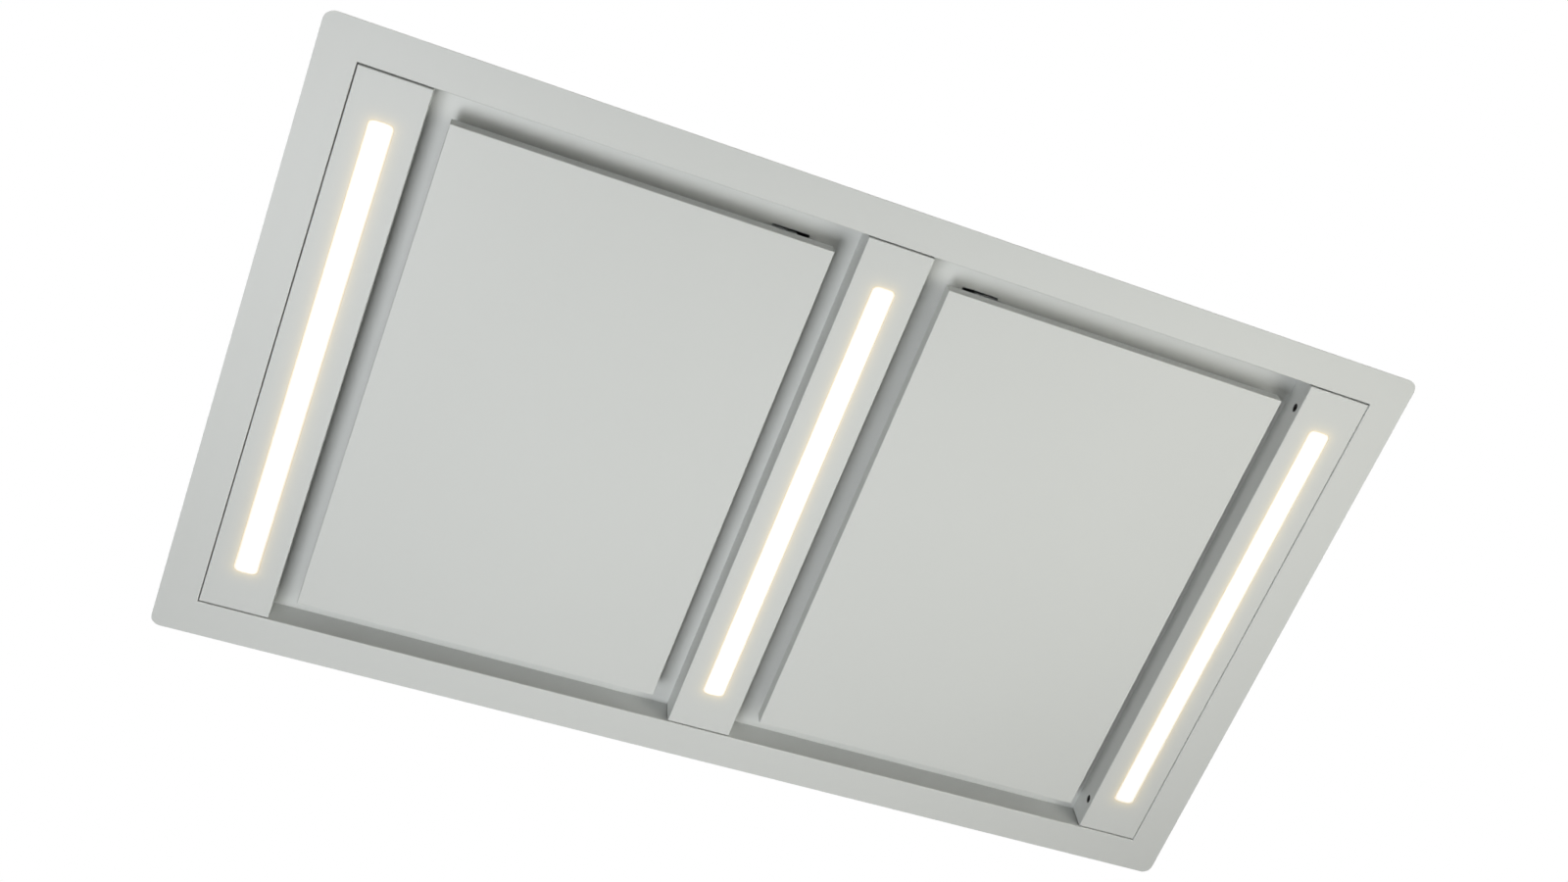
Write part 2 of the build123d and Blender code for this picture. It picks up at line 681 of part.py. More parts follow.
# ------------------------------------------------------------------ lighting
def lens_outline(grow):
    """The lens seen from below: a long slot with squarish, slightly bowed ends."""
    x = LENS_WIDTH / 2 + grow
    y = LENS_LENGTH / 2 + grow
    shoulder = y - LENS_END_BULGE
    sides = [Line((side * x, -shoulder), (side * x, shoulder)) for side in (-1, 1)]
    ends = [ThreePointArc((-x, end * shoulder), (0, end * y), (x, end * shoulder)) for end in (-1, 1)]
    face = make_face(Curve() + sides + ends)
    return fillet(face.vertices(), LENS_CORNER_RADIUS)


def led_lens(x):
    """The opal lens: a face flush with the cover, and a flange behind it."""
    face = extrude(lens_outline(0), amount=COVER_SHEET)
    half_x = LENS_WIDTH / 2 + LENS_FLANGE
    half_y = LENS_LENGTH / 2 + LENS_FLANGE
    flange = block(-half_x, half_x, -half_y, half_y, COVER_SHEET, COVER_SHEET + LENS_FLANGE_THICKNESS)
    return Pos(x, 0, 0) * (face + flange)


def led_channel(x):
    """The aluminium channel over the lens, which carries the LED board."""
    inner = LENS_WIDTH / 2 + LENS_FLANGE + LENS_CLEARANCE
    outer = inner + CHANNEL_WALL
    y = CHANNEL_LENGTH / 2
    channel = block(-outer, outer, -y, y, COVER_SHEET, CHANNEL_TOP)
    channel -= block(-inner, inner, -y, y, COVER_SHEET, CHANNEL_TOP - CHANNEL_WALL)
    return Pos(x, 0, 0) * channel


def led_boards():
    """Three LED boards under their channels, with the LED chips soldered on."""
    top = CHANNEL_TOP - CHANNEL_WALL
    bottom = top - BOARD_THICKNESS
    pitch = BOARD_LENGTH / CHIPS_PER_BOARD
    pieces = []
    for x in COVER_CENTRES.values():
        half_x = BOARD_WIDTH / 2
        half_y = BOARD_LENGTH / 2
        board = block(x - half_x, x + half_x, -half_y, half_y, bottom, top)
        for index in range(CHIPS_PER_BOARD):
            y = (index + 0.5) * pitch - half_y
            chip = Pos(x, y, bottom - CHIP_HEIGHT / 2) * Box(CHIP_WIDTH, CHIP_LENGTH, CHIP_HEIGHT)
            board += chip
        pieces.append(board)
    return group(pieces)


def light_cover(name):
    """A folded channel whose long walls are the sides of the suction troughs."""
    centre = COVER_CENTRES[name]
    half_x = COVER_WIDTH / 2
    half_y = COVER_LENGTH / 2
    body = fold_edges(block(-half_x, half_x, -half_y, half_y, 0, PAN_BOTTOM), 0)
    inner_x = half_x - COVER_SHEET
    inner_y = half_y - COVER_SHEET
    body -= block(-inner_x, inner_x, -inner_y, inner_y, COVER_SHEET, PAN_BOTTOM)
    body -= block(-inner_x, inner_x, -half_y, half_y, COVER_END_FLANGE, PAN_BOTTOM)
    body -= extrude(lens_outline(LENS_CLEARANCE), amount=COVER_SHEET)
    cover = Pos(centre, 0, 0) * body
    for x, wall, y in bracket_places():
        if x == centre:
            face = x + wall * half_x
            inside = face - wall * COVER_SHEET
            cover -= along_x(min(face, inside), max(face, inside), y, COVER_HOLE_HEIGHT, COVER_HOLE_RADIUS)
    return cover


def cover_bracket():
    """An angle under the pan with a nut for the cover's screw, for a wall at +X."""
    leg = bracket_leg_offset()
    half = BRACKET_WIDTH / 2
    bracket = block(leg - BRACKET_FOOT, leg, -half, half, PAN_BOTTOM - BRACKET_SHEET, PAN_BOTTOM)
    bracket += block(leg - BRACKET_SHEET, leg, -half, half, BRACKET_DROP, PAN_BOTTOM)
    nut_end = leg - BRACKET_SHEET - BRACKET_NUT_LENGTH
    bracket += along_x(nut_end, leg - BRACKET_SHEET, 0, COVER_HOLE_HEIGHT, BRACKET_NUT_RADIUS)
    bracket -= along_x(nut_end, leg, 0, COVER_HOLE_HEIGHT, SCREW_HOLE_RADIUS)
    rivet_x = leg - BRACKET_FOOT * 0.6
    return bracket - screw_hole(rivet_x, 0, PAN_BOTTOM - BRACKET_SHEET, PAN_BOTTOM)


def cover_screw():
    """The socket screw whose head locks in the cover's hole, for a wall at +X."""
    face = COVER_WIDTH / 2 - COVER_SCREW_RECESS
    back = face - COVER_SCREW_HEAD
    tip = back - BRACKET_SHEET - BRACKET_NUT_LENGTH
    body = along_x(back, face, 0, COVER_HOLE_HEIGHT, COVER_HOLE_RADIUS - COVER_SCREW_CLEARANCE)
    body += along_x(tip, back, 0, COVER_HOLE_HEIGHT, SCREW_RADIUS)
    socket = RegularPolygon(COVER_HOLE_RADIUS * 0.5, 6)
    return body - plate_yz(Pos(0, COVER_HOLE_HEIGHT) * socket, face - COVER_SCREW_HEAD * 0.6, face)


def at_brackets(piece):
    """Copies of a piece at every light cover bracket, turned to face its wall."""
    copies = []
    for x, wall, y in bracket_places():
        turned = piece if wall > 0 else mirror(piece, about=Plane.YZ)
        copies.append(Pos(x, y, 0) * turned)
    return group(copies)


# ------------------------------------------------------------------ panels and hinges
def suction_panel():
    """The folded panel of the right-hand bay, an upturned tray."""
    end = PANEL_END
    tray = fold_edges(block(PANEL_INNER, PANEL_OUTER, -end, end, 0, PANEL_RIM), 0)
    sheet = PANEL_SHEET
    return tray - block(PANEL_INNER + sheet, PANEL_OUTER - sheet, sheet - end, end - sheet, sheet, PANEL_RIM)


def panel_brackets():
    """The hinge ears and the strike plates, spot-welded inside the panel."""
    half_base = EAR_BASE_LENGTH / 2
    half_ear = EAR_WIDTH / 2
    base_top = PANEL_SHEET + EAR_SHEET
    base_in = EAR_OUT - EAR_BASE_WIDTH
    ear = block(PIVOT_X - half_base, PIVOT_X + half_base, base_in, EAR_OUT, PANEL_SHEET, base_top)
    ear += block(PIVOT_X - half_ear, PIVOT_X + half_ear, EAR_OUT - EAR_SHEET, EAR_OUT, PANEL_SHEET, EAR_TOP)
    ear -= along_y(PIVOT_X, EAR_OUT - EAR_SHEET, EAR_OUT, PIVOT_HEIGHT, PIN_RADIUS + PIN_CLEARANCE)
    half_x = STRIKE_WIDTH / 2
    half_y = STRIKE_LENGTH / 2
    inner = half_x - STRIKE_SHEET
    strike = block(-half_x, half_x, -half_y, half_y, PANEL_SHEET, PANEL_RIM)
    strike -= block(-inner, inner, -half_y, half_y, PANEL_SHEET, PANEL_RIM - STRIKE_SHEET)
    return both_ends(group([ear, Pos(CATCH_X, CATCH_Y, 0) * strike]))


def hinge_pins():
    """The two pins of one panel, each through an ear and a hinge arm."""
    tip = ARM_OUT + SEAT_GAP
    start = EAR_OUT - EAR_SHEET - PIN_HEAD_THICKNESS
    pin = along_y(PIVOT_X, start, tip, PIVOT_HEIGHT, PIN_RADIUS)
    pin += along_y(PIVOT_X, tip, tip + PIN_HEAD_THICKNESS, PIVOT_HEIGHT, PIN_HEAD_RADIUS)
    return both_ends(pin)


def hinge_arms():
    """The two fixed arms of one panel, from the pan's top down to the pivot."""
    rise = PAN_TOP + ARM_SHEET - PIVOT_HEIGHT
    half = ARM_WIDTH / 2
    strut = Pos(ARM_KNEE / 2, ARM_KNEE / 2) * Rot(0, 0, 45) * Rectangle(ARM_KNEE * math.sqrt(2), ARM_WIDTH)
    riser = Pos(ARM_KNEE, (ARM_KNEE + rise) / 2) * Rectangle(ARM_WIDTH, rise - ARM_KNEE)
    outline = Circle(half) + strut + Pos(ARM_KNEE, ARM_KNEE) * Circle(half) + riser
    outline -= Circle(PIN_RADIUS + PIN_CLEARANCE)
    arm = plate_xz(Pos(PIVOT_X, PIVOT_HEIGHT) * outline, ARM_IN, ARM_OUT)
    foot_start = PIVOT_X + ARM_KNEE - half
    foot_end = foot_start + ARM_FOOT_LENGTH
    arm += block(foot_start, foot_end, ARM_IN - ARM_FOOT_WIDTH, ARM_OUT, PAN_TOP, PAN_TOP + ARM_SHEET)
    for x, y in arm_rivet_points():
        if x > 0 and y > 0:
            arm -= screw_hole(x, y, PAN_TOP, PAN_TOP + ARM_SHEET)
    return both_ends(arm)


def catch_magnets():
    """The two magnet blocks that hold one panel shut."""
    half_x = MAGNET_WIDTH / 2
    half_y = MAGNET_LENGTH / 2
    bottom = PANEL_RIM + MAGNET_GAP
    magnet = Pos(0, 0, (bottom + PAN_BOTTOM) / 2) * Box(2 * half_x, 2 * half_y, PAN_BOTTOM - bottom)
    magnet = fillet(magnet.edges().filter_by(Axis.Z), 2.0)
    magnet -= screw_hole(0, 0, PAN_TOP - MAGNET_RIVET_LENGTH - SEAT_GAP, PAN_BOTTOM)
    return both_ends(Pos(CATCH_X, CATCH_Y, 0) * magnet)


# ------------------------------------------------------------------ grease filters
def filter_frame():
    """The aluminium frame of the right-hand filter, with its tabs and latch pocket."""
    wall = FILTER_WALL
    frame = block(FILTER_IN, FILTER_OUT, -FILTER_END, FILTER_END, PAN_BOTTOM, FILTER_TOP)
    for inset, skin in ((FILTER_RIM, 0), (wall, wall)):
        y = FILTER_END - inset
        frame -= block(FILTER_IN + inset, FILTER_OUT - inset, -y, y, PAN_BOTTOM + skin, FILTER_TOP - skin)
    half = LATCH_POCKET_WIDTH / 2
    pocket_in = FILTER_OUT - LATCH_POCKET_LENGTH
    frame += block(pocket_in - wall, FILTER_OUT, -half - wall, half + wall, PAN_BOTTOM, FILTER_TOP)
    frame -= block(pocket_in, FILTER_OUT - wall, -half, half, PAN_BOTTOM + wall, FILTER_TOP - wall)
    tongue = LATCH_WIDTH / 2 + LATCH_CLEARANCE
    gap = LATCH_CLEARANCE / 2
    frame -= block(FILTER_OUT - wall, FILTER_OUT, -tongue, tongue, LATCH_BOTTOM - gap, LATCH_TOP + gap)
    post = LATCH_POST_WIDTH / 2 + LATCH_CLEARANCE
    slot_out = FILTER_OUT - LATCH_POST_INSET + LATCH_CLEARANCE
    slot_in = slot_out - LATCH_POST_LENGTH - LATCH_TRAVEL - 2 * LATCH_CLEARANCE
    frame -= block(slot_in, slot_out, -post, post, PAN_BOTTOM, PAN_BOTTOM + wall)
    half_tab = FILTER_TAB_WIDTH / 2
    tab_y = FILTER_END - FILTER_TAB_INSET
    for y in (-tab_y, tab_y):
        frame += block(
            FILTER_IN - FILTER_TAB_REACH,
            FILTER_IN,
            y - half_tab,
            y + half_tab,
            PAN_TOP + SEAT_GAP,
            PAN_TOP + SEAT_GAP + FILTER_TAB_THICKNESS,
        )
    return frame


def filter_mesh():
    """The pad of layered mesh inside the filter frame."""
    edge = FILTER_WALL + LATCH_CLEARANCE
    mesh = block(
        FILTER_IN + edge,
        FILTER_OUT - edge,
        edge - FILTER_END,
        FILTER_END - edge,
        PAN_BOTTOM + FILTER_WALL,
        FILTER_TOP - FILTER_WALL,
    )
    half = LATCH_POCKET_WIDTH / 2 + FILTER_WALL + LATCH_CLEARANCE
    pocket_in = FILTER_OUT - LATCH_POCKET_LENGTH - FILTER_WALL - LATCH_CLEARANCE
    return mesh - block(pocket_in, FILTER_OUT, -half, half, PAN_BOTTOM, FILTER_TOP)


def filter_latch():
    """The sliding latch: a tongue over the pan, a post and a finger pull."""
    half = LATCH_WIDTH / 2
    latch = block(FILTER_OUT - LATCH_LENGTH, FILTER_OUT + LATCH_REACH, -half, half, LATCH_BOTTOM, LATCH_TOP)
    post_out = FILTER_OUT - LATCH_POST_INSET
    half = LATCH_POST_WIDTH / 2
    pull_top = PAN_BOTTOM - LATCH_CLEARANCE
    latch += block(post_out - LATCH_POST_LENGTH, post_out, -half, half, pull_top, LATCH_BOTTOM)
    half = LATCH_PULL_WIDTH / 2
    pull_out = post_out + (LATCH_PULL_LENGTH - LATCH_POST_LENGTH) / 2
    pull_in = pull_out - LATCH_PULL_LENGTH
    pull_bottom = pull_top - LATCH_PULL_THICKNESS
    pull = block(pull_in, pull_out, -half, half, pull_bottom, pull_top)
    lip_out = pull_in + LATCH_PULL_THICKNESS
    pull += block(pull_in, lip_out, -half, half, pull_bottom - LATCH_LIP_DROP, pull_bottom)
    pull = fillet(pull.edges().filter_by(Axis.X), 1.0)
    return latch + pull


def latch_spring():
    """The coil spring behind the latch, as a sleeve of its outer size."""
    y, z = 0, (LATCH_BOTTOM + LATCH_TOP) / 2
    start = FILTER_OUT - LATCH_POCKET_LENGTH
    end = FILTER_OUT - LATCH_LENGTH
    return along_x(start, end, y, z, SPRING_RADIUS) - along_x(start, end, y, z, SPRING_RADIUS - SPRING_WIRE)


# ------------------------------------------------------------------ blower
def motor_box():
    """The galvanised box over the blower, with a flange round its foot."""
    flange_x = BOX_X + BOX_FLANGE
    flange_y = BOX_Y + BOX_FLANGE
    foot = CASING_HEIGHT + BOX_SHEET
    box = block(-BOX_X, BOX_X, -BOX_Y, BOX_Y, CASING_HEIGHT, BOX_TOP)
    box = fillet(box.edges().filter_by(Axis.Z), BOX_FOLD_RADIUS + BOX_SHEET)
    box += block(-flange_x, flange_x, -flange_y, flange_y, CASING_HEIGHT, foot)
    cavity = block(-BOX_INNER_X, BOX_INNER_X, -BOX_INNER_Y, BOX_INNER_Y, CASING_HEIGHT, BOX_TOP - BOX_SHEET)
    box -= fillet(cavity.edges().filter_by(Axis.Z), BOX_FOLD_RADIUS)
    box -= along_x(BOX_INNER_X, BOX_X, COLLAR_Y, COLLAR_HEIGHT, COLLAR_BORE)
    box -= along_x(-BOX_X, -BOX_INNER_X, FAN_Y, MOTOR_WIRE_Z, WIRE_HOLE)
    for x, y in box_screw_points():
        box -= screw_hole(x, y, CASING_HEIGHT, foot)
    for y, z in collar_screw_places():
        box -= along_x(BOX_INNER_X, BOX_X, y, z, SCREW_HOLE_RADIUS)
    return box


def scroll_outline():
    """The inside of the scroll in plan: three growing quarter arcs and the outlet."""
    def arc(quarter, start, end):
        return ThreePointArc(
            on_scroll(quarter, start), on_scroll(quarter, (start + end) / 2), on_scroll(quarter, end)
        )

    tongue = on_scroll(0, SCROLL_TONGUE_ANGLE)
    near_corner = outlet_corner()
    far_corner = (BOX_INNER_X, FAN_Y + SCROLL_REACH[3])
    edges = [
        arc(0, SCROLL_TONGUE_ANGLE, 0),
        arc(1, 0, -90),
        arc(2, -90, -180),
        arc(3, 180, 90),
        Line(on_scroll(3, 90), far_corner),
        Line(far_corner, near_corner),
        Line(near_corner, tongue),
    ]
    face = make_face(Curve() + edges)
    lip = face.vertices().sort_by_distance((*tongue, 0))[0]
    return fillet(lip, SCROLL_TONGUE_RADIUS)


def lugs(z0, z1, air):
    """The scroll's fixing lugs between two heights, clear of the air space."""
    pieces = Part()
    for x, y in lug_points():
        pieces += drum(x, y, z0, z1, LUG_RADIUS)
    pieces -= air
    for x, y in lug_points():
        pieces -= screw_hole(x, y, z0, z1)
    return pieces


def scroll_housing():
    """The blower's scroll: floor with the inlet hole, spiral wall and outlet flange."""
    inside = scroll_outline()
    outside = offset(inside, amount=SCROLL_SHEET, kind=Kind.INTERSECTION)
    height = SCROLL_LID - CASING_HEIGHT
    air = Pos(0, 0, SCROLL_FLOOR) * extrude(inside, amount=SCROLL_TOP)
    shell = Pos(0, 0, CASING_HEIGHT) * extrude(outside, amount=height) - air
    shell -= block(BOX_INNER_X, BOX_INNER_X + BOX_LENGTH, -BOX_Y, BOX_Y, CASING_HEIGHT, SCROLL_TOP)
    y0 = COLLAR_Y - SCROLL_OUTLET / 2 - OUTLET_FLANGE
    y1 = COLLAR_Y + SCROLL_OUTLET / 2 + OUTLET_FLANGE
    flange = block(BOX_INNER_X - SCROLL_SHEET, BOX_INNER_X, y0, y1, CASING_HEIGHT + SCROLL_SHEET, SCROLL_LID)
    shell += flange - air
    shell += lugs(CASING_HEIGHT, CASING_HEIGHT + SCROLL_SHEET, air)
    shell += lugs(SCROLL_LID - SCROLL_SHEET, SCROLL_LID, air)
    for y, z in collar_screw_places():
        shell -= along_x(BOX_INNER_X - SCROLL_SHEET, BOX_INNER_X, y, z, SCREW_HOLE_RADIUS)
    for x, y in ring_screw_points():
        shell -= screw_hole(x, y, CASING_HEIGHT, SCROLL_FLOOR)
    return shell - drum(FAN_X, FAN_Y, CASING_HEIGHT, SCROLL_FLOOR, INLET_HOLE_RADIUS)


def scroll_cover():
    """The blower's lid, which carries the motor."""
    outside = offset(scroll_outline(), amount=SCROLL_SHEET, kind=Kind.INTERSECTION)
    lid = Pos(0, 0, SCROLL_LID) * extrude(outside, amount=SCROLL_SHEET)
    lid -= block(BOX_INNER_X, BOX_INNER_X + BOX_LENGTH, -BOX_Y, BOX_Y, SCROLL_LID, SCROLL_TOP)
    for x, y in lug_points():
        lid += drum(x, y, SCROLL_LID, SCROLL_TOP, LUG_RADIUS)
    for x, y in lug_points() + motor_screw_points():
        lid -= screw_hole(x, y, SCROLL_LID, SCROLL_TOP)
    return lid - drum(MOTOR_WIRE_X, FAN_Y, SCROLL_LID, SCROLL_TOP, WIRE_HOLE)


def inlet_ring():
    """The bell-shaped ring that leads air from the casing into the impeller."""
    plate = CASING_HEIGHT - CASING_SHEET
    throat_z = IMPELLER_BOTTOM + INLET_OVERLAP
    under = plate - INLET_SHEET
    mouth, throat = INLET_MOUTH_RADIUS, INLET_THROAT_RADIUS
    bulge = (mouth - throat) * 0.3
    middle = ((mouth + throat) / 2 - bulge, (under + throat_z) / 2)
    outer_middle = (middle[0] + INLET_SHEET, middle[1])
    edges = [
        Line((INLET_FLANGE_RADIUS, under), (INLET_FLANGE_RADIUS, plate)),
        Line((INLET_FLANGE_RADIUS, plate), (mouth + INLET_SHEET, plate)),
        ThreePointArc((mouth + INLET_SHEET, plate), outer_middle, (throat + INLET_SHEET, throat_z)),
        Line((throat + INLET_SHEET, throat_z), (throat, throat_z)),
        ThreePointArc((throat, throat_z), middle, (mouth, under)),
        Line((mouth, under), (INLET_FLANGE_RADIUS, under)),
    ]
    ring = Pos(FAN_X, FAN_Y, 0) * revolve(Plane.XZ * make_face(Curve() + edges), axis=Axis.Z)
    for x, y in ring_screw_points():
        ring -= screw_hole(x, y, under, plate)
    return ring


def impeller():
    """The forward-curved impeller: front ring, blades, back plate and hub cup."""
    blades = Sketch()
    inner = IMPELLER_EYE_RADIUS + INLET_SHEET
    depth = IMPELLER_RADIUS - inner
    half = BLADE_THICKNESS / 2
    outline = [
        ThreePointArc((inner, half), (inner + depth / 2, half - BLADE_CAMBER), (IMPELLER_RADIUS, half)),
        Line((IMPELLER_RADIUS, half), (IMPELLER_RADIUS, -half)),
        ThreePointArc((IMPELLER_RADIUS, -half), (inner + depth / 2, -half - BLADE_CAMBER), (inner, -half)),
        Line((inner, -half), (inner, half)),
    ]
    blade = make_face(Curve() + outline)
    for index in range(BLADE_COUNT):
        blades += Rot(0, 0, index * 360 / BLADE_COUNT) * blade
    sheet = IMPELLER_SHEET
    rim = IMPELLER_RADIUS + sheet / 2
    wheel = Pos(0, 0, IMPELLER_BOTTOM) * extrude(blades, amount=IMPELLER_TOP - IMPELLER_BOTTOM)
    wheel += tube(0, 0, IMPELLER_BOTTOM, IMPELLER_BOTTOM + sheet, rim, IMPELLER_EYE_RADIUS)
    wheel += tube(0, 0, IMPELLER_TOP - sheet, IMPELLER_TOP, rim, HUB_CUP_RADIUS - sheet)
    wheel += tube(0, 0, HUB_CUP_BOTTOM, IMPELLER_TOP, HUB_CUP_RADIUS, HUB_CUP_RADIUS - sheet)
    wheel += drum(0, 0, HUB_CUP_BOTTOM, HUB_CUP_BOTTOM + sheet, HUB_CUP_RADIUS)
    wheel += drum(0, 0, HUB_CUP_BOTTOM - HUB_BOSS_LENGTH, HUB_CUP_BOTTOM, HUB_BOSS_RADIUS)
    bore = SHAFT_RADIUS + SHAFT_CLEARANCE
    wheel -= drum(0, 0, HUB_CUP_BOTTOM - HUB_BOSS_LENGTH, HUB_CUP_BOTTOM + sheet, bore)
    return Pos(FAN_X, FAN_Y, 0) * wheel


def motor_shaft():
    """The shaft, from the impeller hub to the upper bearing, with a collar at its foot."""
    foot = HUB_CUP_BOTTOM - HUB_BOSS_LENGTH
    shaft = drum(FAN_X, FAN_Y, foot, MOTOR_LID_Z - SEAT_GAP, SHAFT_RADIUS)
    return shaft + drum(FAN_X, FAN_Y, foot - 5, foot, HUB_BOSS_RADIUS * 0.7)


def motor_housing():
    """The motor's can, with its mounting flange and two bearing seats."""
    seat = BEARING_RADIUS + BEARING_BOSS
    can = drum(0, 0, MOTOR_BOTTOM, MOTOR_TOP, MOTOR_RADIUS)
    can += drum(0, 0, MOTOR_TOP - MOTOR_FLANGE_THICKNESS, MOTOR_TOP, MOTOR_FLANGE_RADIUS)
    can -= drum(0, 0, MOTOR_BOTTOM + MOTOR_WALL, MOTOR_LID_Z, MOTOR_RADIUS - MOTOR_WALL)
    can += drum(0, 0, MOTOR_BOTTOM, MOTOR_BOTTOM + BEARING_WIDTH, seat)
    can += drum(0, 0, UPPER_BEARING, MOTOR_LID_Z, seat)
    can -= drum(0, 0, MOTOR_BOTTOM, MOTOR_BOTTOM + BEARING_WIDTH, BEARING_RADIUS)
    can -= drum(0, 0, UPPER_BEARING, MOTOR_LID_Z, BEARING_RADIUS)
    can = Pos(FAN_X, FAN_Y, 0) * can
    for x, y in motor_screw_points():
        can -= screw_hole(x, y, MOTOR_TOP - MOTOR_FLANGE_THICKNESS, MOTOR_TOP)
    return can


def motor_stator():
    """The wound core inside the can."""
    outer = MOTOR_RADIUS - MOTOR_WALL - PAN_CLEARANCE
    return tube(FAN_X, FAN_Y, ROTOR_BOTTOM, ROTOR_BOTTOM + STATOR_HEIGHT, outer, STATOR_BORE)


def motor_rotor():
    """The rotor core on the shaft."""
    top = ROTOR_BOTTOM + STATOR_HEIGHT
    return tube(FAN_X, FAN_Y, ROTOR_BOTTOM, top, STATOR_BORE - AIR_GAP, SHAFT_RADIUS + SHAFT_CLEARANCE)


def motor_bearings():
    """Two bearings in their seats."""
    bore = SHAFT_RADIUS + SHAFT_CLEARANCE
    outer = BEARING_RADIUS - SHAFT_CLEARANCE
    starts = (MOTOR_BOTTOM, UPPER_BEARING)
    return group([tube(FAN_X, FAN_Y, z, z + BEARING_WIDTH, outer, bore) for z in starts])


def motor_bushes():
    """Rubber bushes between the motor flange and the blower lid."""
    places = motor_screw_points()
    return group([tube(x, y, MOTOR_TOP, SCROLL_LID, BUSH_RADIUS, SCREW_HOLE_RADIUS) for x, y in places])


def capacitor():
    """The motor's run capacitor, standing in a free corner of the motor box."""
    x = CAPACITOR_RADIUS + SCROLL_TO_BOX - BOX_INNER_X
    y = BOX_INNER_Y - CAPACITOR_RADIUS - SCROLL_TO_BOX
    return fillet(drum(x, y, CASING_HEIGHT, CASING_HEIGHT + CAPACITOR_HEIGHT, CAPACITOR_RADIUS).edges(), 1.5)


# ------------------------------------------------------------------ duct collar
def duct_collar():
    """The round spigot for the duct, with its flange, pin holes and flap stops."""
    start = BOX_X
    end = start + COLLAR_FLANGE_THICKNESS + COLLAR_LENGTH
    collar = along_x(start, end, COLLAR_Y, COLLAR_HEIGHT, COLLAR_RADIUS)
    flange_end = start + COLLAR_FLANGE_THICKNESS
    collar += along_x(start, flange_end, COLLAR_Y, COLLAR_HEIGHT, COLLAR_FLANGE_RADIUS)
    collar -= along_x(start, end, COLLAR_Y, COLLAR_HEIGHT, COLLAR_BORE)
    stop_end = DAMPER_X - FLAP_THICKNESS / 2 - SEAT_GAP
    ring = along_x(stop_end - FLAP_STOP, stop_end, COLLAR_Y, COLLAR_HEIGHT, COLLAR_BORE + COLLAR_WALL / 2)
    for side in (-1, 1):
        lug = Box(FLAP_STOP, 2 * FLAP_STOP + COLLAR_WALL, 2 * FLAP_STOP)
        collar += Pos(stop_end - FLAP_STOP / 2, COLLAR_Y + side * COLLAR_BORE, COLLAR_HEIGHT) * lug & ring
    pin_hole = DAMPER_PIN_RADIUS + DAMPER_PIN_CLEARANCE
    collar -= drum(DAMPER_X, COLLAR_Y, COLLAR_HEIGHT - COLLAR_RADIUS, COLLAR_HEIGHT + COLLAR_RADIUS, pin_hole)
    for y, z in collar_screw_places():
        collar -= along_x(start, flange_end, y, z, SCREW_HOLE_RADIUS)
    return collar


def damper_pin():
    """The upright pin across the collar, which ends inside the collar's wall."""
    reach = COLLAR_RADIUS - SEAT_GAP
    return drum(DAMPER_X, COLLAR_Y, COLLAR_HEIGHT - reach, COLLAR_HEIGHT + reach, DAMPER_PIN_RADIUS)


def damper_flap(side):
    """Half of the butterfly damper, on the +Y side (1) or the -Y side (-1) of the pin."""
    radius = COLLAR_BORE - FLAP_CLEARANCE
    disc = along_x(-FLAP_THICKNESS / 2, FLAP_THICKNESS / 2, 0, 0, radius)
    inner = KNUCKLE_RADIUS + KNUCKLE_GAP
    flap = disc & block(-FLAP_THICKNESS, FLAP_THICKNESS, inner, radius, -radius, radius)
    for slot in (-2, 0) if side > 0 else (-1, 1):
        z0 = slot * KNUCKLE_LENGTH + KNUCKLE_GAP / 2
        z1 = (slot + 1) * KNUCKLE_LENGTH - KNUCKLE_GAP / 2
        flap += block(-FLAP_THICKNESS / 2, FLAP_THICKNESS / 2, 0, 2 * KNUCKLE_RADIUS, z0, z1)
        flap += drum(0, 0, z0, z1, KNUCKLE_RADIUS)
    flap -= drum(0, 0, -radius, radius, DAMPER_PIN_RADIUS + DAMPER_PIN_CLEARANCE)
    if side < 0:
        flap = mirror(flap, about=Plane.XZ)
    return Pos(DAMPER_X, COLLAR_Y, COLLAR_HEIGHT) * flap


# ------------------------------------------------------------------ electrics
def control_box():
    """The plastic box on the casing for the control board and the lighting driver."""
    half_x = CONTROL_LENGTH / 2
    half_y = CONTROL_WIDTH / 2
    x, y, wall = CONTROL_X, CONTROL_Y, CONTROL_WALL
    box = block(x - half_x, x + half_x, y - half_y, y + half_y, CASING_HEIGHT, CONTROL_TOP)
    box = fillet(box.edges().filter_by(Axis.Z), 4.0)
    cavity = block(
        x - half_x + wall, x + half_x - wall, y - half_y + wall, y + half_y - wall, CONTROL_FLOOR, CONTROL_TOP
    )
    box -= fillet(cavity.edges().filter_by(Axis.Z), 2.0)
    for px, py in control_screw_points():
        box += drum(px, py, CONTROL_FLOOR, CONTROL_TOP, CONTROL_POST_RADIUS)
    for px, py in control_screw_points():
        box -= screw_hole(px, py, CASING_HEIGHT, CONTROL_TOP)
    gland_z = CASING_HEIGHT + GLAND_HEIGHT
    box -= along_x(x - half_x, x - half_x + wall, y, gland_z, GLAND_THREAD_RADIUS + PAN_CLEARANCE)
    return box


def control_box_lid():
    """The lid, screwed to the box's corner posts."""
    half_x = CONTROL_LENGTH / 2
    half_y = CONTROL_WIDTH / 2
    top = CONTROL_TOP + CONTROL_LID_THICKNESS
    lid = block(
        CONTROL_X - half_x, CONTROL_X + half_x, CONTROL_Y - half_y, CONTROL_Y + half_y, CONTROL_TOP, top
    )
    lid = fillet(lid.edges().filter_by(Axis.Z), 4.0)
    for x, y in control_screw_points():
        lid -= screw_hole(x, y, CONTROL_TOP, top)
    return lid


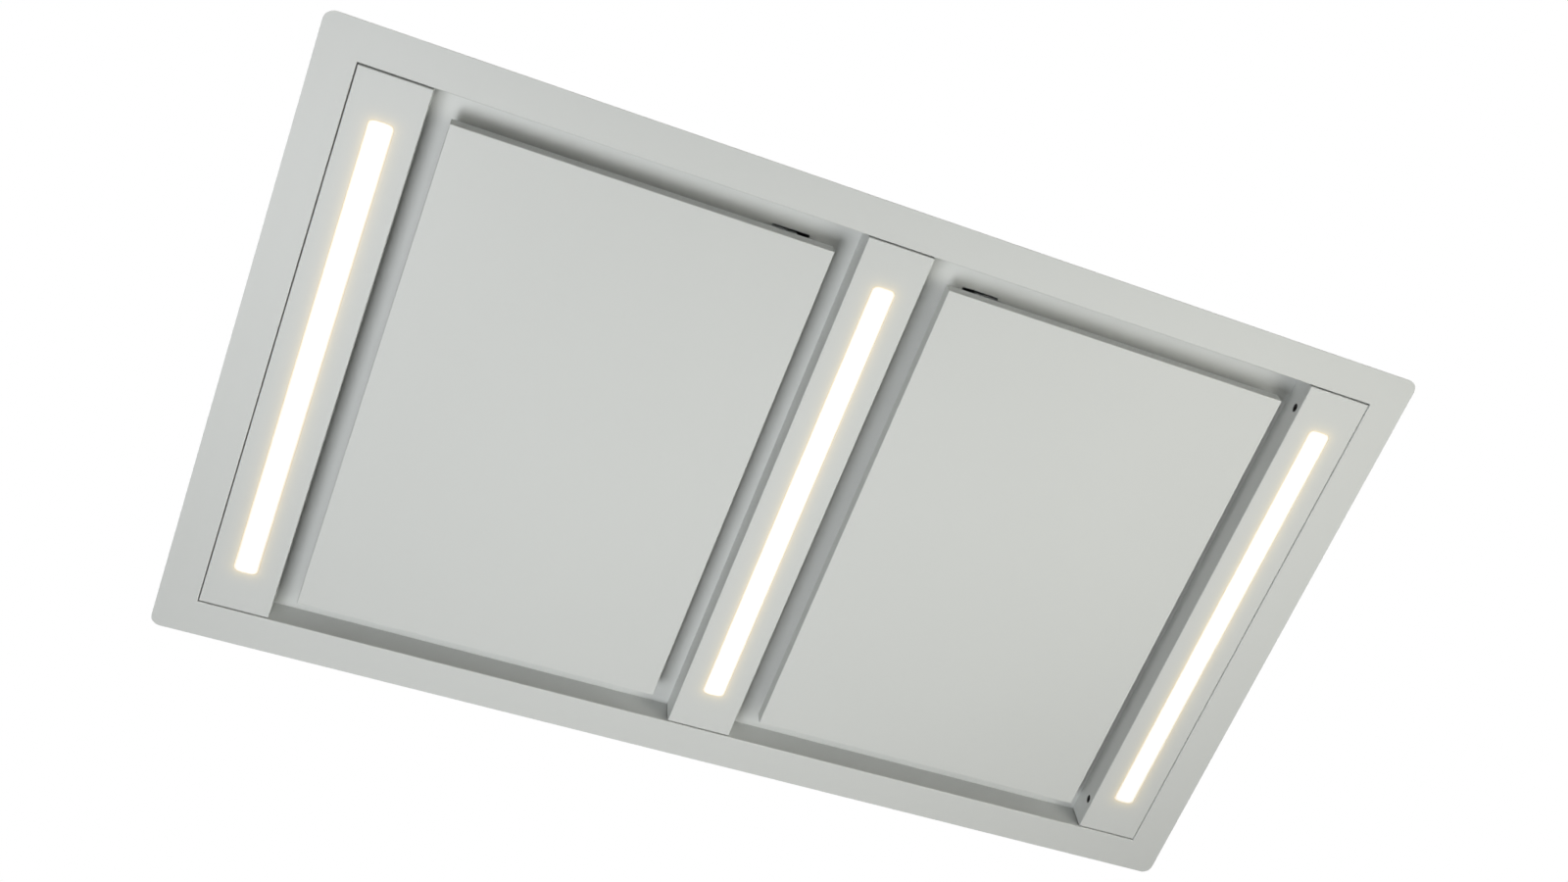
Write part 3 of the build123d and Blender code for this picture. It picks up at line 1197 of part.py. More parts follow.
def control_board():
    """The control board on its feet, with relays, transformer and terminals."""
    x, y = CONTROL_X, CONTROL_Y
    bottom = CONTROL_FLOOR + CONTROL_BOARD_LIFT
    top = bottom + CONTROL_BOARD_THICKNESS
    half_x = CONTROL_LENGTH / 2 - 6 * CONTROL_WALL
    y0 = y - CONTROL_WIDTH / 2 + 6 * CONTROL_WALL
    y1 = y + CONTROL_WIDTH / 2 - DRIVER_WIDTH - 6 * CONTROL_WALL
    board = block(x - half_x, x + half_x, y0, y1, bottom, top)
    foot = CONTROL_POST_RADIUS
    for foot_x in (x - half_x + foot, x + half_x - foot):
        for foot_y in (y0 + foot, y1 - foot):
            board += drum(foot_x, foot_y, CONTROL_FLOOR, bottom, foot)
    parts = [
        (0.15, 0.85, 34, 30, 24),
        (0.60, 0.85, 19, 15, 15),
        (0.95, 0.85, 19, 15, 15),
        (0.90, 0.10, 12, 60, 14),
        (0.10, 0.10, 40, 30, 8),
    ]
    for share_x, share_y, size_x, size_y, size_z in parts:
        cx = x - half_x + size_x / 2 + share_x * (2 * half_x - size_x)
        cy = y0 + size_y / 2 + share_y * (y1 - y0 - size_y)
        board += Pos(cx, cy, top + size_z / 2) * Box(size_x, size_y, size_z)
    return board


def led_driver():
    """The lighting driver on the floor of the control box."""
    half = DRIVER_LENGTH / 2
    y1 = CONTROL_Y + CONTROL_WIDTH / 2 - 3 * CONTROL_WALL
    z1 = CONTROL_FLOOR + DRIVER_HEIGHT
    driver = block(CONTROL_X - half, CONTROL_X + half, y1 - DRIVER_WIDTH, y1, CONTROL_FLOOR, z1)
    return fillet(driver.edges().filter_by(Axis.Z), 3.0)


def cable_gland():
    """The gland for the mains cable, in the control box's -X wall."""
    wall = CONTROL_X - CONTROL_LENGTH / 2
    z = CASING_HEIGHT + GLAND_HEIGHT
    inside = wall + CONTROL_WALL + GLAND_NUT_LENGTH
    outside = wall - GLAND_BODY_LENGTH - GLAND_CAP_LENGTH

    def hexagon(x0, x1, radius):
        return plate_yz(Pos(CONTROL_Y, z) * RegularPolygon(radius, 6), x0, x1)

    gland = along_x(wall - GLAND_BODY_LENGTH, inside, CONTROL_Y, z, GLAND_THREAD_RADIUS)
    gland += hexagon(wall + CONTROL_WALL, inside, GLAND_HEX_RADIUS)
    gland += hexagon(wall - GLAND_BODY_LENGTH, wall, GLAND_HEX_RADIUS)
    cap = along_x(outside, wall - GLAND_BODY_LENGTH, CONTROL_Y, z, GLAND_HEX_RADIUS * 0.8)
    gland += fillet(cap.edges().sort_by(Axis.X)[0], 2.5)
    return gland - along_x(outside, inside, CONTROL_Y, z, GLAND_BORE)


def wire(points, radii):
    """A round cable along straight runs joined by tangent arcs."""
    path = FilletPolyline(*points, radius=radii)
    start = Plane(origin=path @ 0, z_dir=path % 0)
    return sweep(start * Circle(WIRE_RADIUS), path=path)


def led_looms():
    """The three lighting looms, from the control box down to each LED channel."""
    wall_y = CONTROL_Y - CONTROL_WIDTH / 2
    pieces = []
    for index, (name, (x, y)) in enumerate(loom_points().items()):
        start_x = CONTROL_X + (index - 1) * LOOM_PITCH
        points = [(start_x, wall_y, WIRE_Z), (start_x, y, WIRE_Z), (x, y, WIRE_Z), (x, y, CHANNEL_TOP)]
        pieces.append(wire(points, [WIRE_BEND, WIRE_TIGHT_BEND]))
    return group(pieces)


def motor_loom():
    """The motor's cable, from the control box over the blower to the motor."""
    wall_x = CONTROL_X + CONTROL_LENGTH / 2
    rise_x = (wall_x - BOX_X - BOX_FLANGE) / 2
    points = [
        (wall_x, FAN_Y, WIRE_Z),
        (rise_x, FAN_Y, WIRE_Z),
        (rise_x, FAN_Y, MOTOR_WIRE_Z),
        (MOTOR_WIRE_X, FAN_Y, MOTOR_WIRE_Z),
        (MOTOR_WIRE_X, FAN_Y, MOTOR_TOP),
    ]
    return group([wire(points, [WIRE_TIGHT_BEND, WIRE_BEND / 2, WIRE_TIGHT_BEND])])


# ------------------------------------------------------------------ fastener groups
def pan_rivets():
    """Every rivet in the base pan."""
    pieces = [Pos(x, y, PAN_TOP) * rivet(PAN_SHEET + FRAME_SHEET) for x, y in frame_rivet_points()]
    pieces += [Pos(x, y, PAN_TOP) * rivet(PAN_SHEET + BRACKET_SHEET) for x, y in bracket_rivet_points()]
    arm_top = PAN_TOP + ARM_SHEET
    pieces += [Pos(x, y, arm_top) * rivet(ARM_SHEET + PAN_SHEET) for x, y in arm_rivet_points()]
    pieces += [Pos(x, y, PAN_TOP) * pressed_rivet(MAGNET_RIVET_LENGTH) for x, y in magnet_rivet_points()]
    return group(pieces)


def casing_screws():
    """Every sheet-metal screw in the casing, motor box, collar and control box."""
    pieces = [facing(*place, direction) * screw(SCREW_LENGTH) for place, direction in casing_side_screws()]
    box_flange = CASING_HEIGHT + BOX_SHEET
    pieces += [Pos(x, y, box_flange) * screw(SCREW_LENGTH) for x, y in box_screw_points()]
    hanger_foot = CASING_HEIGHT + HANGER_SHEET
    pieces += [Pos(x, y, hanger_foot) * screw(SCREW_LENGTH) for x, y in hanger_screw_points()]
    flange_face = BOX_X + COLLAR_FLANGE_THICKNESS
    pieces += [facing(flange_face, y, z, (1, 0, 0)) * screw(SCREW_LENGTH) for y, z in collar_screw_places()]
    lid_top = CONTROL_TOP + CONTROL_LID_THICKNESS
    pieces += [Pos(x, y, lid_top) * screw(SCREW_LENGTH) for x, y in control_screw_points()]
    return group(pieces)


def blower_screws():
    """The screws of the blower: up into its floor and lower lugs, and down through its lid."""
    underside = CASING_HEIGHT - CASING_SHEET
    pieces = [facing(x, y, underside, (0, 0, -1)) * screw(SCREW_LENGTH) for x, y in lug_points()]
    under_ring = underside - INLET_SHEET
    pieces += [facing(x, y, under_ring, (0, 0, -1)) * screw(SCREW_LENGTH) for x, y in ring_screw_points()]
    pieces += [Pos(x, y, SCROLL_TOP) * screw(SCREW_LENGTH) for x, y in lug_points()]
    pieces += [Pos(x, y, SCROLL_TOP) * screw(MACHINE_SCREW_LENGTH) for x, y in motor_screw_points()]
    return group(pieces)


# ------------------------------------------------------------------ every named piece
def all_pieces():
    """Each named piece of the hood and its solids."""
    pieces = {
        "face_frame": face_frame(),
        "base_pan": base_pan(),
        "plenum_casing": plenum_casing(),
        "suspension_brackets": suspension_brackets(),
        "pan_rivets": pan_rivets(),
        "casing_screws": casing_screws(),
        "blower_screws": blower_screws(),
        "led_boards": led_boards(),
        "led_looms": led_looms(),
        "cover_brackets": at_brackets(cover_bracket()),
        "cover_screws": at_brackets(cover_screw()),
        "motor_box": motor_box(),
        "scroll_housing": scroll_housing(),
        "scroll_cover": scroll_cover(),
        "inlet_ring": inlet_ring(),
        "impeller": impeller(),
        "motor_shaft": motor_shaft(),
        "motor_rotor": motor_rotor(),
        "motor_housing": motor_housing(),
        "motor_stator": motor_stator(),
        "motor_bearings": motor_bearings(),
        "motor_bushes": motor_bushes(),
        "capacitor": capacitor(),
        "motor_loom": motor_loom(),
        "duct_collar": duct_collar(),
        "damper_pin": damper_pin(),
        "front_damper_flap": damper_flap(-1),
        "rear_damper_flap": damper_flap(1),
        "control_box": control_box(),
        "control_box_lid": control_box_lid(),
        "control_board": control_board(),
        "led_driver": led_driver(),
        "cable_gland": cable_gland(),
    }
    for name, x in COVER_CENTRES.items():
        pieces[name + "_light_cover"] = light_cover(name)
        pieces[name + "_led_lens"] = led_lens(x)
        pieces[name + "_led_channel"] = led_channel(x)
    bay_pieces = {
        "panel": suction_panel(),
        "panel_brackets": panel_brackets(),
        "hinge_pins": hinge_pins(),
        "hinge_arms": hinge_arms(),
        "catch_magnets": catch_magnets(),
        "filter_frame": filter_frame(),
        "filter_mesh": filter_mesh(),
        "filter_latch": filter_latch(),
        "latch_spring": latch_spring(),
    }
    for side in ("left", "right"):
        for name, piece in bay_pieces.items():
            pieces[side + "_" + name] = sided(side, piece)
    return pieces


def main():
    """Write one STEP file for each named piece."""
    os.makedirs("parts", exist_ok=True)
    for name, piece in all_pieces().items():
        export_step(group([piece]), os.path.join("parts", name + ".step"))


main()
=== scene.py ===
"""The looks of a flush ceiling hood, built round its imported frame."""

import json
import math

import bmesh
import bpy
from mathutils import Matrix, Vector


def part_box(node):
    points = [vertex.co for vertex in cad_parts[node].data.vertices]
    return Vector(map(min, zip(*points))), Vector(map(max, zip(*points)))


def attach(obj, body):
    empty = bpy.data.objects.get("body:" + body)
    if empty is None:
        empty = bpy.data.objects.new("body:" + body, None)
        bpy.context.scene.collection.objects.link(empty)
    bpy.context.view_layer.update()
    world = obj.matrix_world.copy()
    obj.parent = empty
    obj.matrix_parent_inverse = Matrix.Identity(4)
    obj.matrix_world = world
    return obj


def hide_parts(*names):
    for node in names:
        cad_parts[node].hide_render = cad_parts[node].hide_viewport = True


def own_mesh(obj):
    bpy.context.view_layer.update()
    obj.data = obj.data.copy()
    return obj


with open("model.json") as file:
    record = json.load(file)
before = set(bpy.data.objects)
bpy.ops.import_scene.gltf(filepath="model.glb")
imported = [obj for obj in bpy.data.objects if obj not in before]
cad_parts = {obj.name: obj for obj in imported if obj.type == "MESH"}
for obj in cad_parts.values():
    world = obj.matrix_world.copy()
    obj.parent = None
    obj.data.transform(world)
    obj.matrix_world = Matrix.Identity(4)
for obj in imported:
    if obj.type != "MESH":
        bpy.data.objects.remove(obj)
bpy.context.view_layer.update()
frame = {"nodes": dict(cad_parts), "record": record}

# Metres per millimetre, because the sizes below are written in millimetres
MM = 0.001
WHITE = (1, 1, 1, 1)


# ------------------------------------------------------------------ shader groups
def new_group(name, inputs, outputs):
    """An empty shader group with its sockets: (socket type, name, default) each.

    It comes with what it is given and what it puts out.
    """
    tree = bpy.data.node_groups.new(name, "ShaderNodeTree")
    for kind, label, default in inputs:
        socket = tree.interface.new_socket(label, in_out="INPUT", socket_type=kind)
        socket.default_value = default
    for kind, label in outputs:
        tree.interface.new_socket(label, in_out="OUTPUT", socket_type=kind)
    given = tree.nodes.new("NodeGroupInput").outputs
    return tree, given, tree.nodes.new("NodeGroupOutput").inputs


def add(tree, kind, **settings):
    """A new node. A setting that names a property goes there, any other to that input."""
    node = tree.nodes.new(kind)
    for name, value in settings.items():
        label = name.replace("_", " ").title()
        if label in node.inputs:
            put(tree, value, node.inputs[label])
        else:
            setattr(node, name, value)
    return node


def put(tree, value, socket):
    """Link a socket to another one, or set its value."""
    if isinstance(value, bpy.types.NodeSocket):
        tree.links.new(value, socket)
    else:
        socket.default_value = value


def calculate(tree, operation, first, second=0.0):
    """A Math node's result."""
    node = tree.nodes.new("ShaderNodeMath")
    node.operation = operation
    put(tree, first, node.inputs[0])
    put(tree, second, node.inputs[1])
    return node.outputs[0]


def remap(tree, value, low, high, to_low, to_high):
    """A value moved from one range to another, clamped."""
    node = add(tree, "ShaderNodeMapRange")
    for socket, number in zip(node.inputs[:5], (value, low, high, to_low, to_high)):
        put(tree, number, socket)
    return node.outputs[0]


def combine(tree, operation, *vectors):
    """A Vector Math node's vector result."""
    node = tree.nodes.new("ShaderNodeVectorMath")
    node.operation = operation
    for socket, vector in zip(node.inputs, vectors):
        put(tree, vector, socket)
    return node.outputs[0]


def apart(tree, vector):
    """A vector's X, Y and Z."""
    node = tree.nodes.new("ShaderNodeSeparateXYZ")
    put(tree, vector, node.inputs[0])
    return node.outputs


def object_position(tree):
    """Object coordinates, in metres."""
    return tree.nodes.new("ShaderNodeTexCoord").outputs["Object"]


def change_by(tree, value, amount):
    """A 0 to 1 value made one that goes from minus to plus half the amount."""
    return calculate(tree, "MULTIPLY", calculate(tree, "SUBTRACT", value, 0.5), amount)


def mixed_colour(tree, factor, first, second):
    """One colour going over into another."""
    node = tree.nodes.new("ShaderNodeMix")
    node.data_type = "RGBA"
    put(tree, factor, node.inputs[0])
    put(tree, first, node.inputs[6])
    put(tree, second, node.inputs[7])
    return node.outputs[2]


def scaled_colour(tree, colour, factor):
    """A colour times a value."""
    node = tree.nodes.new("ShaderNodeVectorMath")
    node.operation = "SCALE"
    put(tree, colour, node.inputs[0])
    put(tree, factor, node.inputs["Scale"])
    return node.outputs[0]


def noise_over(tree, place, scale, detail):
    """A Noise texture at a place."""
    return add(tree, "ShaderNodeTexNoise", vector=place, scale=scale, detail=detail)


def make_uneven_tone():
    """Slow, faint changes of lightness over a surface."""
    tree, given, out = new_group(
        "uneven_tone",
        [
            ("NodeSocketColor", "Base", WHITE),
            ("NodeSocketFloat", "Scale", 5),
            ("NodeSocketFloat", "Amount", 0.02),
        ],
        [("NodeSocketColor", "Color")],
    )
    noise = noise_over(tree, object_position(tree), given["Scale"], 3.0)
    mask = remap(tree, noise.outputs["Fac"], 0.3, 0.7, 0.0, 1.0)
    change = change_by(tree, mask, given["Amount"])
    lightness = calculate(tree, "ADD", change, 1.0)
    put(tree, scaled_colour(tree, given["Base"], lightness), out["Color"])
    return tree


def make_fine_grain():
    """A fine all-over relief, as of orange peel, moulded texture or cast metal."""
    tree, given, out = new_group(
        "fine_grain",
        [
            ("NodeSocketFloat", "Scale", 400),
            ("NodeSocketFloat", "Roughness", 0.4),
            ("NodeSocketFloat", "Spread", 0.05),
        ],
        [("NodeSocketFloat", "Height"), ("NodeSocketFloat", "Roughness")],
    )
    noise = noise_over(tree, object_position(tree), given["Scale"], 2.0)
    change = change_by(tree, noise.outputs["Fac"], given["Spread"])
    put(tree, noise.outputs["Fac"], out["Height"])
    put(tree, calculate(tree, "ADD", given["Roughness"], change), out["Roughness"])
    return tree


def make_rolled_streaks():
    """Long fine lines along the direction whose stretch is smallest."""
    tree, given, out = new_group(
        "rolled_streaks",
        [
            ("NodeSocketVector", "Stretch", (1, 1, 1)),
            ("NodeSocketColor", "Base", WHITE),
            ("NodeSocketFloat", "Amount", 0.1),
            ("NodeSocketFloat", "Roughness", 0.35),
        ],
        [
            ("NodeSocketColor", "Color"),
            ("NodeSocketFloat", "Height"),
            ("NodeSocketFloat", "Roughness"),
        ],
    )
    place = combine(tree, "MULTIPLY", object_position(tree), given["Stretch"])
    noise = noise_over(tree, place, 1.0, 4.0)
    change = change_by(tree, noise.outputs["Fac"], given["Amount"])
    lightness = calculate(tree, "ADD", change, 1.0)
    put(tree, scaled_colour(tree, given["Base"], lightness), out["Color"])
    put(tree, noise.outputs["Fac"], out["Height"])
    put(tree, calculate(tree, "ADD", given["Roughness"], change), out["Roughness"])
    return tree


def make_zinc_spangle():
    """The crystal pattern of hot-dip galvanised sheet."""
    tree, given, out = new_group(
        "zinc_spangle",
        [
            ("NodeSocketColor", "Base", WHITE),
            ("NodeSocketFloat", "Scale", 90),
            ("NodeSocketFloat", "Amount", 0.2),
            ("NodeSocketFloat", "Roughness", 0.4),
        ],
        [("NodeSocketColor", "Color"), ("NodeSocketFloat", "Roughness")],
    )
    place = object_position(tree)
    warp = noise_over(tree, place, 60.0, 2.0)
    reach = (12 * MM, 12 * MM, 12 * MM)
    bent = combine(tree, "MULTIPLY_ADD", warp.outputs["Color"], reach, place)
    crystals = add(tree, "ShaderNodeTexVoronoi", vector=bent, scale=given["Scale"])
    shade = tree.nodes.new("ShaderNodeSeparateColor")
    put(tree, crystals.outputs["Color"], shade.inputs[0])
    change = change_by(tree, shade.outputs[0], given["Amount"])
    lightness = calculate(tree, "ADD", change, 1.0)
    put(tree, scaled_colour(tree, given["Base"], lightness), out["Color"])
    put(tree, calculate(tree, "SUBTRACT", given["Roughness"], change), out["Roughness"])
    return tree


def make_lens_distance():
    """How far a point lies outside the nearest lens. Inside the lens it is negative."""
    tree, given, out = new_group(
        "lens_distance",
        [
            ("NodeSocketFloat", "Pitch", 0.5),
            ("NodeSocketFloat", "Half Width", 0.01),
            ("NodeSocketFloat", "Half Length", 0.2),
            ("NodeSocketFloat", "Corner", 0.005),
        ],
        [("NodeSocketFloat", "Distance")],
    )
    x, y, _ = apart(tree, object_position(tree))
    half_pitch = calculate(tree, "MULTIPLY", given["Pitch"], 0.5)
    from_centre = calculate(tree, "PINGPONG", x, half_pitch)
    straight_width = calculate(tree, "SUBTRACT", given["Half Width"], given["Corner"])
    across = calculate(tree, "SUBTRACT", from_centre, straight_width)
    from_middle = calculate(tree, "ABSOLUTE", y)
    straight_length = calculate(tree, "SUBTRACT", given["Half Length"], given["Corner"])
    along = calculate(tree, "SUBTRACT", from_middle, straight_length)
    beside = calculate(tree, "POWER", calculate(tree, "MAXIMUM", across, 0.0), 2.0)
    beyond = calculate(tree, "POWER", calculate(tree, "MAXIMUM", along, 0.0), 2.0)
    outside = calculate(tree, "SQRT", calculate(tree, "ADD", beside, beyond))
    inside = calculate(tree, "MINIMUM", calculate(tree, "MAXIMUM", across, along), 0.0)
    to_straights = calculate(tree, "ADD", outside, inside)
    put(tree, calculate(tree, "SUBTRACT", to_straights, given["Corner"]), out["Distance"])
    return tree


def make_diamond_strands():
    """1 on the strands of one layer of diamond mesh, 0 in its openings."""
    tree, given, out = new_group(
        "diamond_strands",
        [
            ("NodeSocketVector", "Diamond", (0.006, 0.012, 1.0)),
            ("NodeSocketFloat", "Shift", 0.0),
            ("NodeSocketFloat", "Strand", 0.12),
        ],
        [("NodeSocketFloat", "Mask")],
    )
    x, y, _ = apart(tree, combine(tree, "DIVIDE", object_position(tree), given["Diamond"]))
    column = calculate(tree, "ADD", x, given["Shift"])
    rising = calculate(tree, "PINGPONG", calculate(tree, "ADD", column, y), 0.5)
    falling = calculate(tree, "PINGPONG", calculate(tree, "SUBTRACT", column, y), 0.5)
    nearest = calculate(tree, "MINIMUM", rising, falling)
    edge = calculate(tree, "MULTIPLY", given["Strand"], 1.5)
    put(tree, remap(tree, nearest, given["Strand"], edge, 1.0, 0.0), out["Mask"])
    return tree


uneven_tone = make_uneven_tone()
lens_distance = make_lens_distance()
diamond_strands = make_diamond_strands()
fine_grain = make_fine_grain()
rolled_streaks = make_rolled_streaks()
zinc_spangle = make_zinc_spangle()


# ------------------------------------------------------------------ materials
def use_group(tree, group, **settings):
    """One of the shared groups, placed in a material with its own values."""
    node = tree.nodes.new("ShaderNodeGroup")
    node.node_tree = group
    for name, value in settings.items():
        put(tree, value, node.inputs[name.replace("_", " ").title()])
    return node.outputs


def start_material(name, **plain):
    """A new material and its Principled shader, with plain values on its sockets."""
    material = bpy.data.materials.new(name)
    material.use_nodes = True
    shader = material.node_tree.nodes["Principled BSDF"]
    for label, value in plain.items():
        shader.inputs[label.replace("_", " ").title()].default_value = value
    return material, material.node_tree, shader


def relief(tree, shader, height, depth):
    """Bump from a height, with its real depth in metres."""
    bump = add(tree, "ShaderNodeBump", height=height, distance=depth, strength=1.0)
    put(tree, bump.outputs[0], shader.inputs["Normal"])


def painted(name, colour, roughness, peel_depth):
    """Powder coat: an even colour with a fine orange peel."""
    material, tree, shader = start_material(name)
    tone = use_group(tree, uneven_tone, base=(*colour, 1), scale=4.0, amount=0.012)
    peel = use_group(tree, fine_grain, scale=520.0, roughness=roughness, spread=0.06)
    put(tree, tone["Color"], shader.inputs["Base Color"])
    put(tree, peel["Roughness"], shader.inputs["Roughness"])
    relief(tree, shader, peel["Height"], peel_depth)
    return material


def moulded(name, colour, roughness, grain=900.0, depth=0.04 * MM):
    """Moulded plastic or rubber: a fine even texture."""
    material, tree, shader = start_material(name)
    tone = use_group(tree, uneven_tone, base=(*colour, 1), scale=30.0, amount=0.08)
    texture = use_group(tree, fine_grain, scale=grain, roughness=roughness, spread=0.12)
    put(tree, tone["Color"], shader.inputs["Base Color"])
    put(tree, texture["Roughness"], shader.inputs["Roughness"])
    relief(tree, shader, texture["Height"], depth)
    return material


def rolled(name, colour, roughness, stretch, amount=0.25):
    """Bare rolled or drawn metal with fine lines."""
    material, tree, shader = start_material(name, metallic=1.0)
    lines = use_group(
        tree, rolled_streaks, stretch=stretch, base=(*colour, 1), amount=amount, roughness=roughness
    )
    put(tree, lines["Color"], shader.inputs["Base Color"])
    put(tree, lines["Roughness"], shader.inputs["Roughness"])
    relief(tree, shader, lines["Height"], 0.03 * MM)
    return material


def galvanised(name, colour, scale):
    """Zinc-coated sheet with its spangle."""
    material, tree, shader = start_material(name, metallic=0.85)
    zinc = use_group(
        tree, zinc_spangle, base=(*colour, 1), scale=scale, amount=0.13, roughness=0.42
    )
    grain = use_group(tree, fine_grain, scale=300.0)
    put(tree, zinc["Color"], shader.inputs["Base Color"])
    put(tree, zinc["Roughness"], shader.inputs["Roughness"])
    relief(tree, shader, grain["Height"], 0.02 * MM)
    return material


def from_the_lens(tree):
    """The distance to the nearest of the three lenses."""
    return use_group(tree, lens_distance, **LENSES)["Distance"]


def lit_opal(name, colour, strength):
    """An opal lens lit from behind, whose light goes down and gets warmer at its edge."""
    material, tree, shader = start_material(name, emission_strength=strength)
    tone = use_group(tree, uneven_tone, base=(*colour, 1), scale=40.0, amount=0.02)
    haze = use_group(tree, fine_grain, scale=700.0, roughness=0.35, spread=0.1)
    edge = remap(tree, from_the_lens(tree), -LENS_FADE, 0.0, 0.0, 1.0)
    light = mixed_colour(tree, edge, (1.0, 1.0, 0.99, 1), (0.60, 0.42, 0.20, 1))
    put(tree, tone["Color"], shader.inputs["Base Color"])
    put(tree, light, shader.inputs["Emission Color"])
    put(tree, haze["Roughness"], shader.inputs["Roughness"])
    return material


def painted_lens_glow(material, colour, strength, reach):
    """A painted glow: the paint next to each lens gives off warm light of its own, standing in for
    the light that a lens spills on it.
    """
    tree = material.node_tree
    shader = tree.nodes["Principled BSDF"]
    fading = calculate(tree, "EXPONENT", calculate(tree, "DIVIDE", from_the_lens(tree), -reach))
    put(tree, scaled_colour(tree, colour, fading), shader.inputs["Emission Color"])
    shader.inputs["Emission Strength"].default_value = strength
    return material


def layered_mesh(name, bright, painted_shade):
    """The mesh layers behind the first one, crossing each other, with painted shade in the openings
    between them and the farther layer painted darker.
    """
    material, tree, shader = start_material(name, metallic=0.8)
    second = use_group(
        tree, diamond_strands, diamond=(6 * MM, 12 * MM, 1), shift=0.5, strand=0.11
    )["Mask"]
    third = use_group(
        tree, diamond_strands, diamond=(9 * MM, 7 * MM, 1), shift=0.2, strand=0.10
    )["Mask"]
    # The farther layer's strands count for less than one, so they are painted darker, towards the
    # painted shade
    depth = calculate(tree, "MAXIMUM", second, calculate(tree, "MULTIPLY", third, 0.45))
    grain = use_group(tree, fine_grain, scale=300.0, roughness=0.45, spread=0.2)
    put(tree, mixed_colour(tree, depth, (*painted_shade, 1), (*bright, 1)), shader.inputs["Base Color"])
    put(tree, grain["Roughness"], shader.inputs["Roughness"])
    relief(tree, shader, depth, 0.6 * MM)
    return material


LENSES = {
    "pitch": 522 * MM,
    "half_width": 12.2 * MM,
    "half_length": 261 * MM,
    "corner": 7 * MM,
}
# Over this width a lens's light goes down to its edge
LENS_FADE = 3.4 * MM

PAINT = {"colour": (0.645, 0.660, 0.650), "roughness": 0.42, "peel_depth": 0.012 * MM}
white_powder_coat = painted("white_powder_coat", **PAINT)
cover_paint = painted("cover_paint", **PAINT)
# The cover paint gets a painted warm glow round each lens
painted_lens_glow(cover_paint, (1.0, 0.66, 0.12), 0.21, 4.8 * MM)
galvanised_sheet = galvanised("galvanised_sheet", (0.52, 0.54, 0.55), 170.0)
# The second colour is painted shade for the openings between the strands
deep_mesh = layered_mesh("deep_mesh", (0.62, 0.63, 0.64), (0.045, 0.046, 0.05))
zinc_plate = rolled("zinc_plate", (0.60, 0.60, 0.62), 0.32, (900.0, 900.0, 900.0), 0.15)
blackened_steel = moulded("blackened_steel", (0.012, 0.011, 0.010), 0.5)
mill_aluminium = rolled("mill_aluminium", (0.80, 0.81, 0.82), 0.34, (900.0, 14.0, 900.0))
cast_aluminium = moulded("cast_aluminium", (0.50, 0.51, 0.52), 0.55, 500.0, 0.12 * MM)
opal_lens = lit_opal("opal_lens", (0.80, 0.80, 0.785), 0.5)
black_moulding = moulded("black_moulding", (0.028, 0.028, 0.031), 0.5)
grey_moulding = moulded("grey_moulding", (0.34, 0.35, 0.36), 0.5)
white_moulding = moulded("white_moulding", (0.78, 0.78, 0.76), 0.35)
green_board = moulded("green_board", (0.02, 0.14, 0.06), 0.3, 1500.0)
white_board = moulded("white_board", (0.82, 0.82, 0.80), 0.3, 1500.0)
wound_core = rolled("wound_core", (0.35, 0.20, 0.12), 0.45, (200.0, 200.0, 2000.0), 0.5)
ground_steel = rolled("ground_steel", (0.70, 0.71, 0.73), 0.18, (300.0, 300.0, 2500.0), 0.1)
soft_rubber = moulded("soft_rubber", (0.025, 0.025, 0.025), 0.75, 1200.0)
cable_sheath = moulded("cable_sheath", (0.62, 0.62, 0.60), 0.45, 1200.0)

FINISHES = {
    "white_paint": white_powder_coat,
    "galvanised_steel": galvanised_sheet,
    "bright_steel": zinc_plate,
    "dark_steel": blackened_steel,
    "bare_aluminium": mill_aluminium,
    "cast_aluminium": cast_aluminium,
    "opal_plastic": opal_lens,
    "black_plastic": black_moulding,
    "grey_plastic": grey_moulding,
    "white_plastic": white_moulding,
    "board_green": green_board,
    "board_white": white_board,
    "core_steel": wound_core,
    "bearing_steel": ground_steel,
    "black_rubber": soft_rubber,
    "cable_sheath": cable_sheath,
}
slot_of = {entry["node"]: entry["material_slot"] for entry in frame["record"]["subparts"]}
body_of_node = {
    node: body
    for body, members in frame["record"]["behaviour"]["bodies"].items()
    for node in members
}
for node, thing in frame["nodes"].items():
    thing.data.materials.clear()
    thing.data.materials.append(FINISHES[slot_of[node]])


# ------------------------------------------------------------------ pieces
def dress(piece, node):
    """Let a finished piece stand for a CAD node and ride on its body."""
    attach(piece, body_of_node[node])
    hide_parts(node)
    return piece


def plain_copy(node, name):
    """A merged copy of a CAD node's mesh, with its flat faces joined up."""
    source = frame["nodes"][node]
    mesh = source.data.copy()
    mesh.name = name
    shape = bmesh.new()
    shape.from_mesh(mesh)
    bmesh.ops.remove_doubles(shape, verts=shape.verts, dist=0.002 * MM)
    bmesh.ops.dissolve_limit(
        shape,
        angle_limit=math.radians(0.5),
        verts=shape.verts,
        edges=shape.edges,
        delimit={"NORMAL"},
    )
    shape.to_mesh(mesh)
    shape.free()
    piece = bpy.data.objects.new(name, mesh)
    bpy.context.scene.collection.objects.link(piece)
    return piece


def apply_modifiers(piece):
    """Make what the modifiers give the piece's own mesh."""
    bpy.context.view_layer.update()
    graph = bpy.context.evaluated_depsgraph_get()
    mesh = bpy.data.meshes.new_from_object(piece.evaluated_get(graph))
    piece.modifiers.clear()
    piece.data = mesh
    return piece


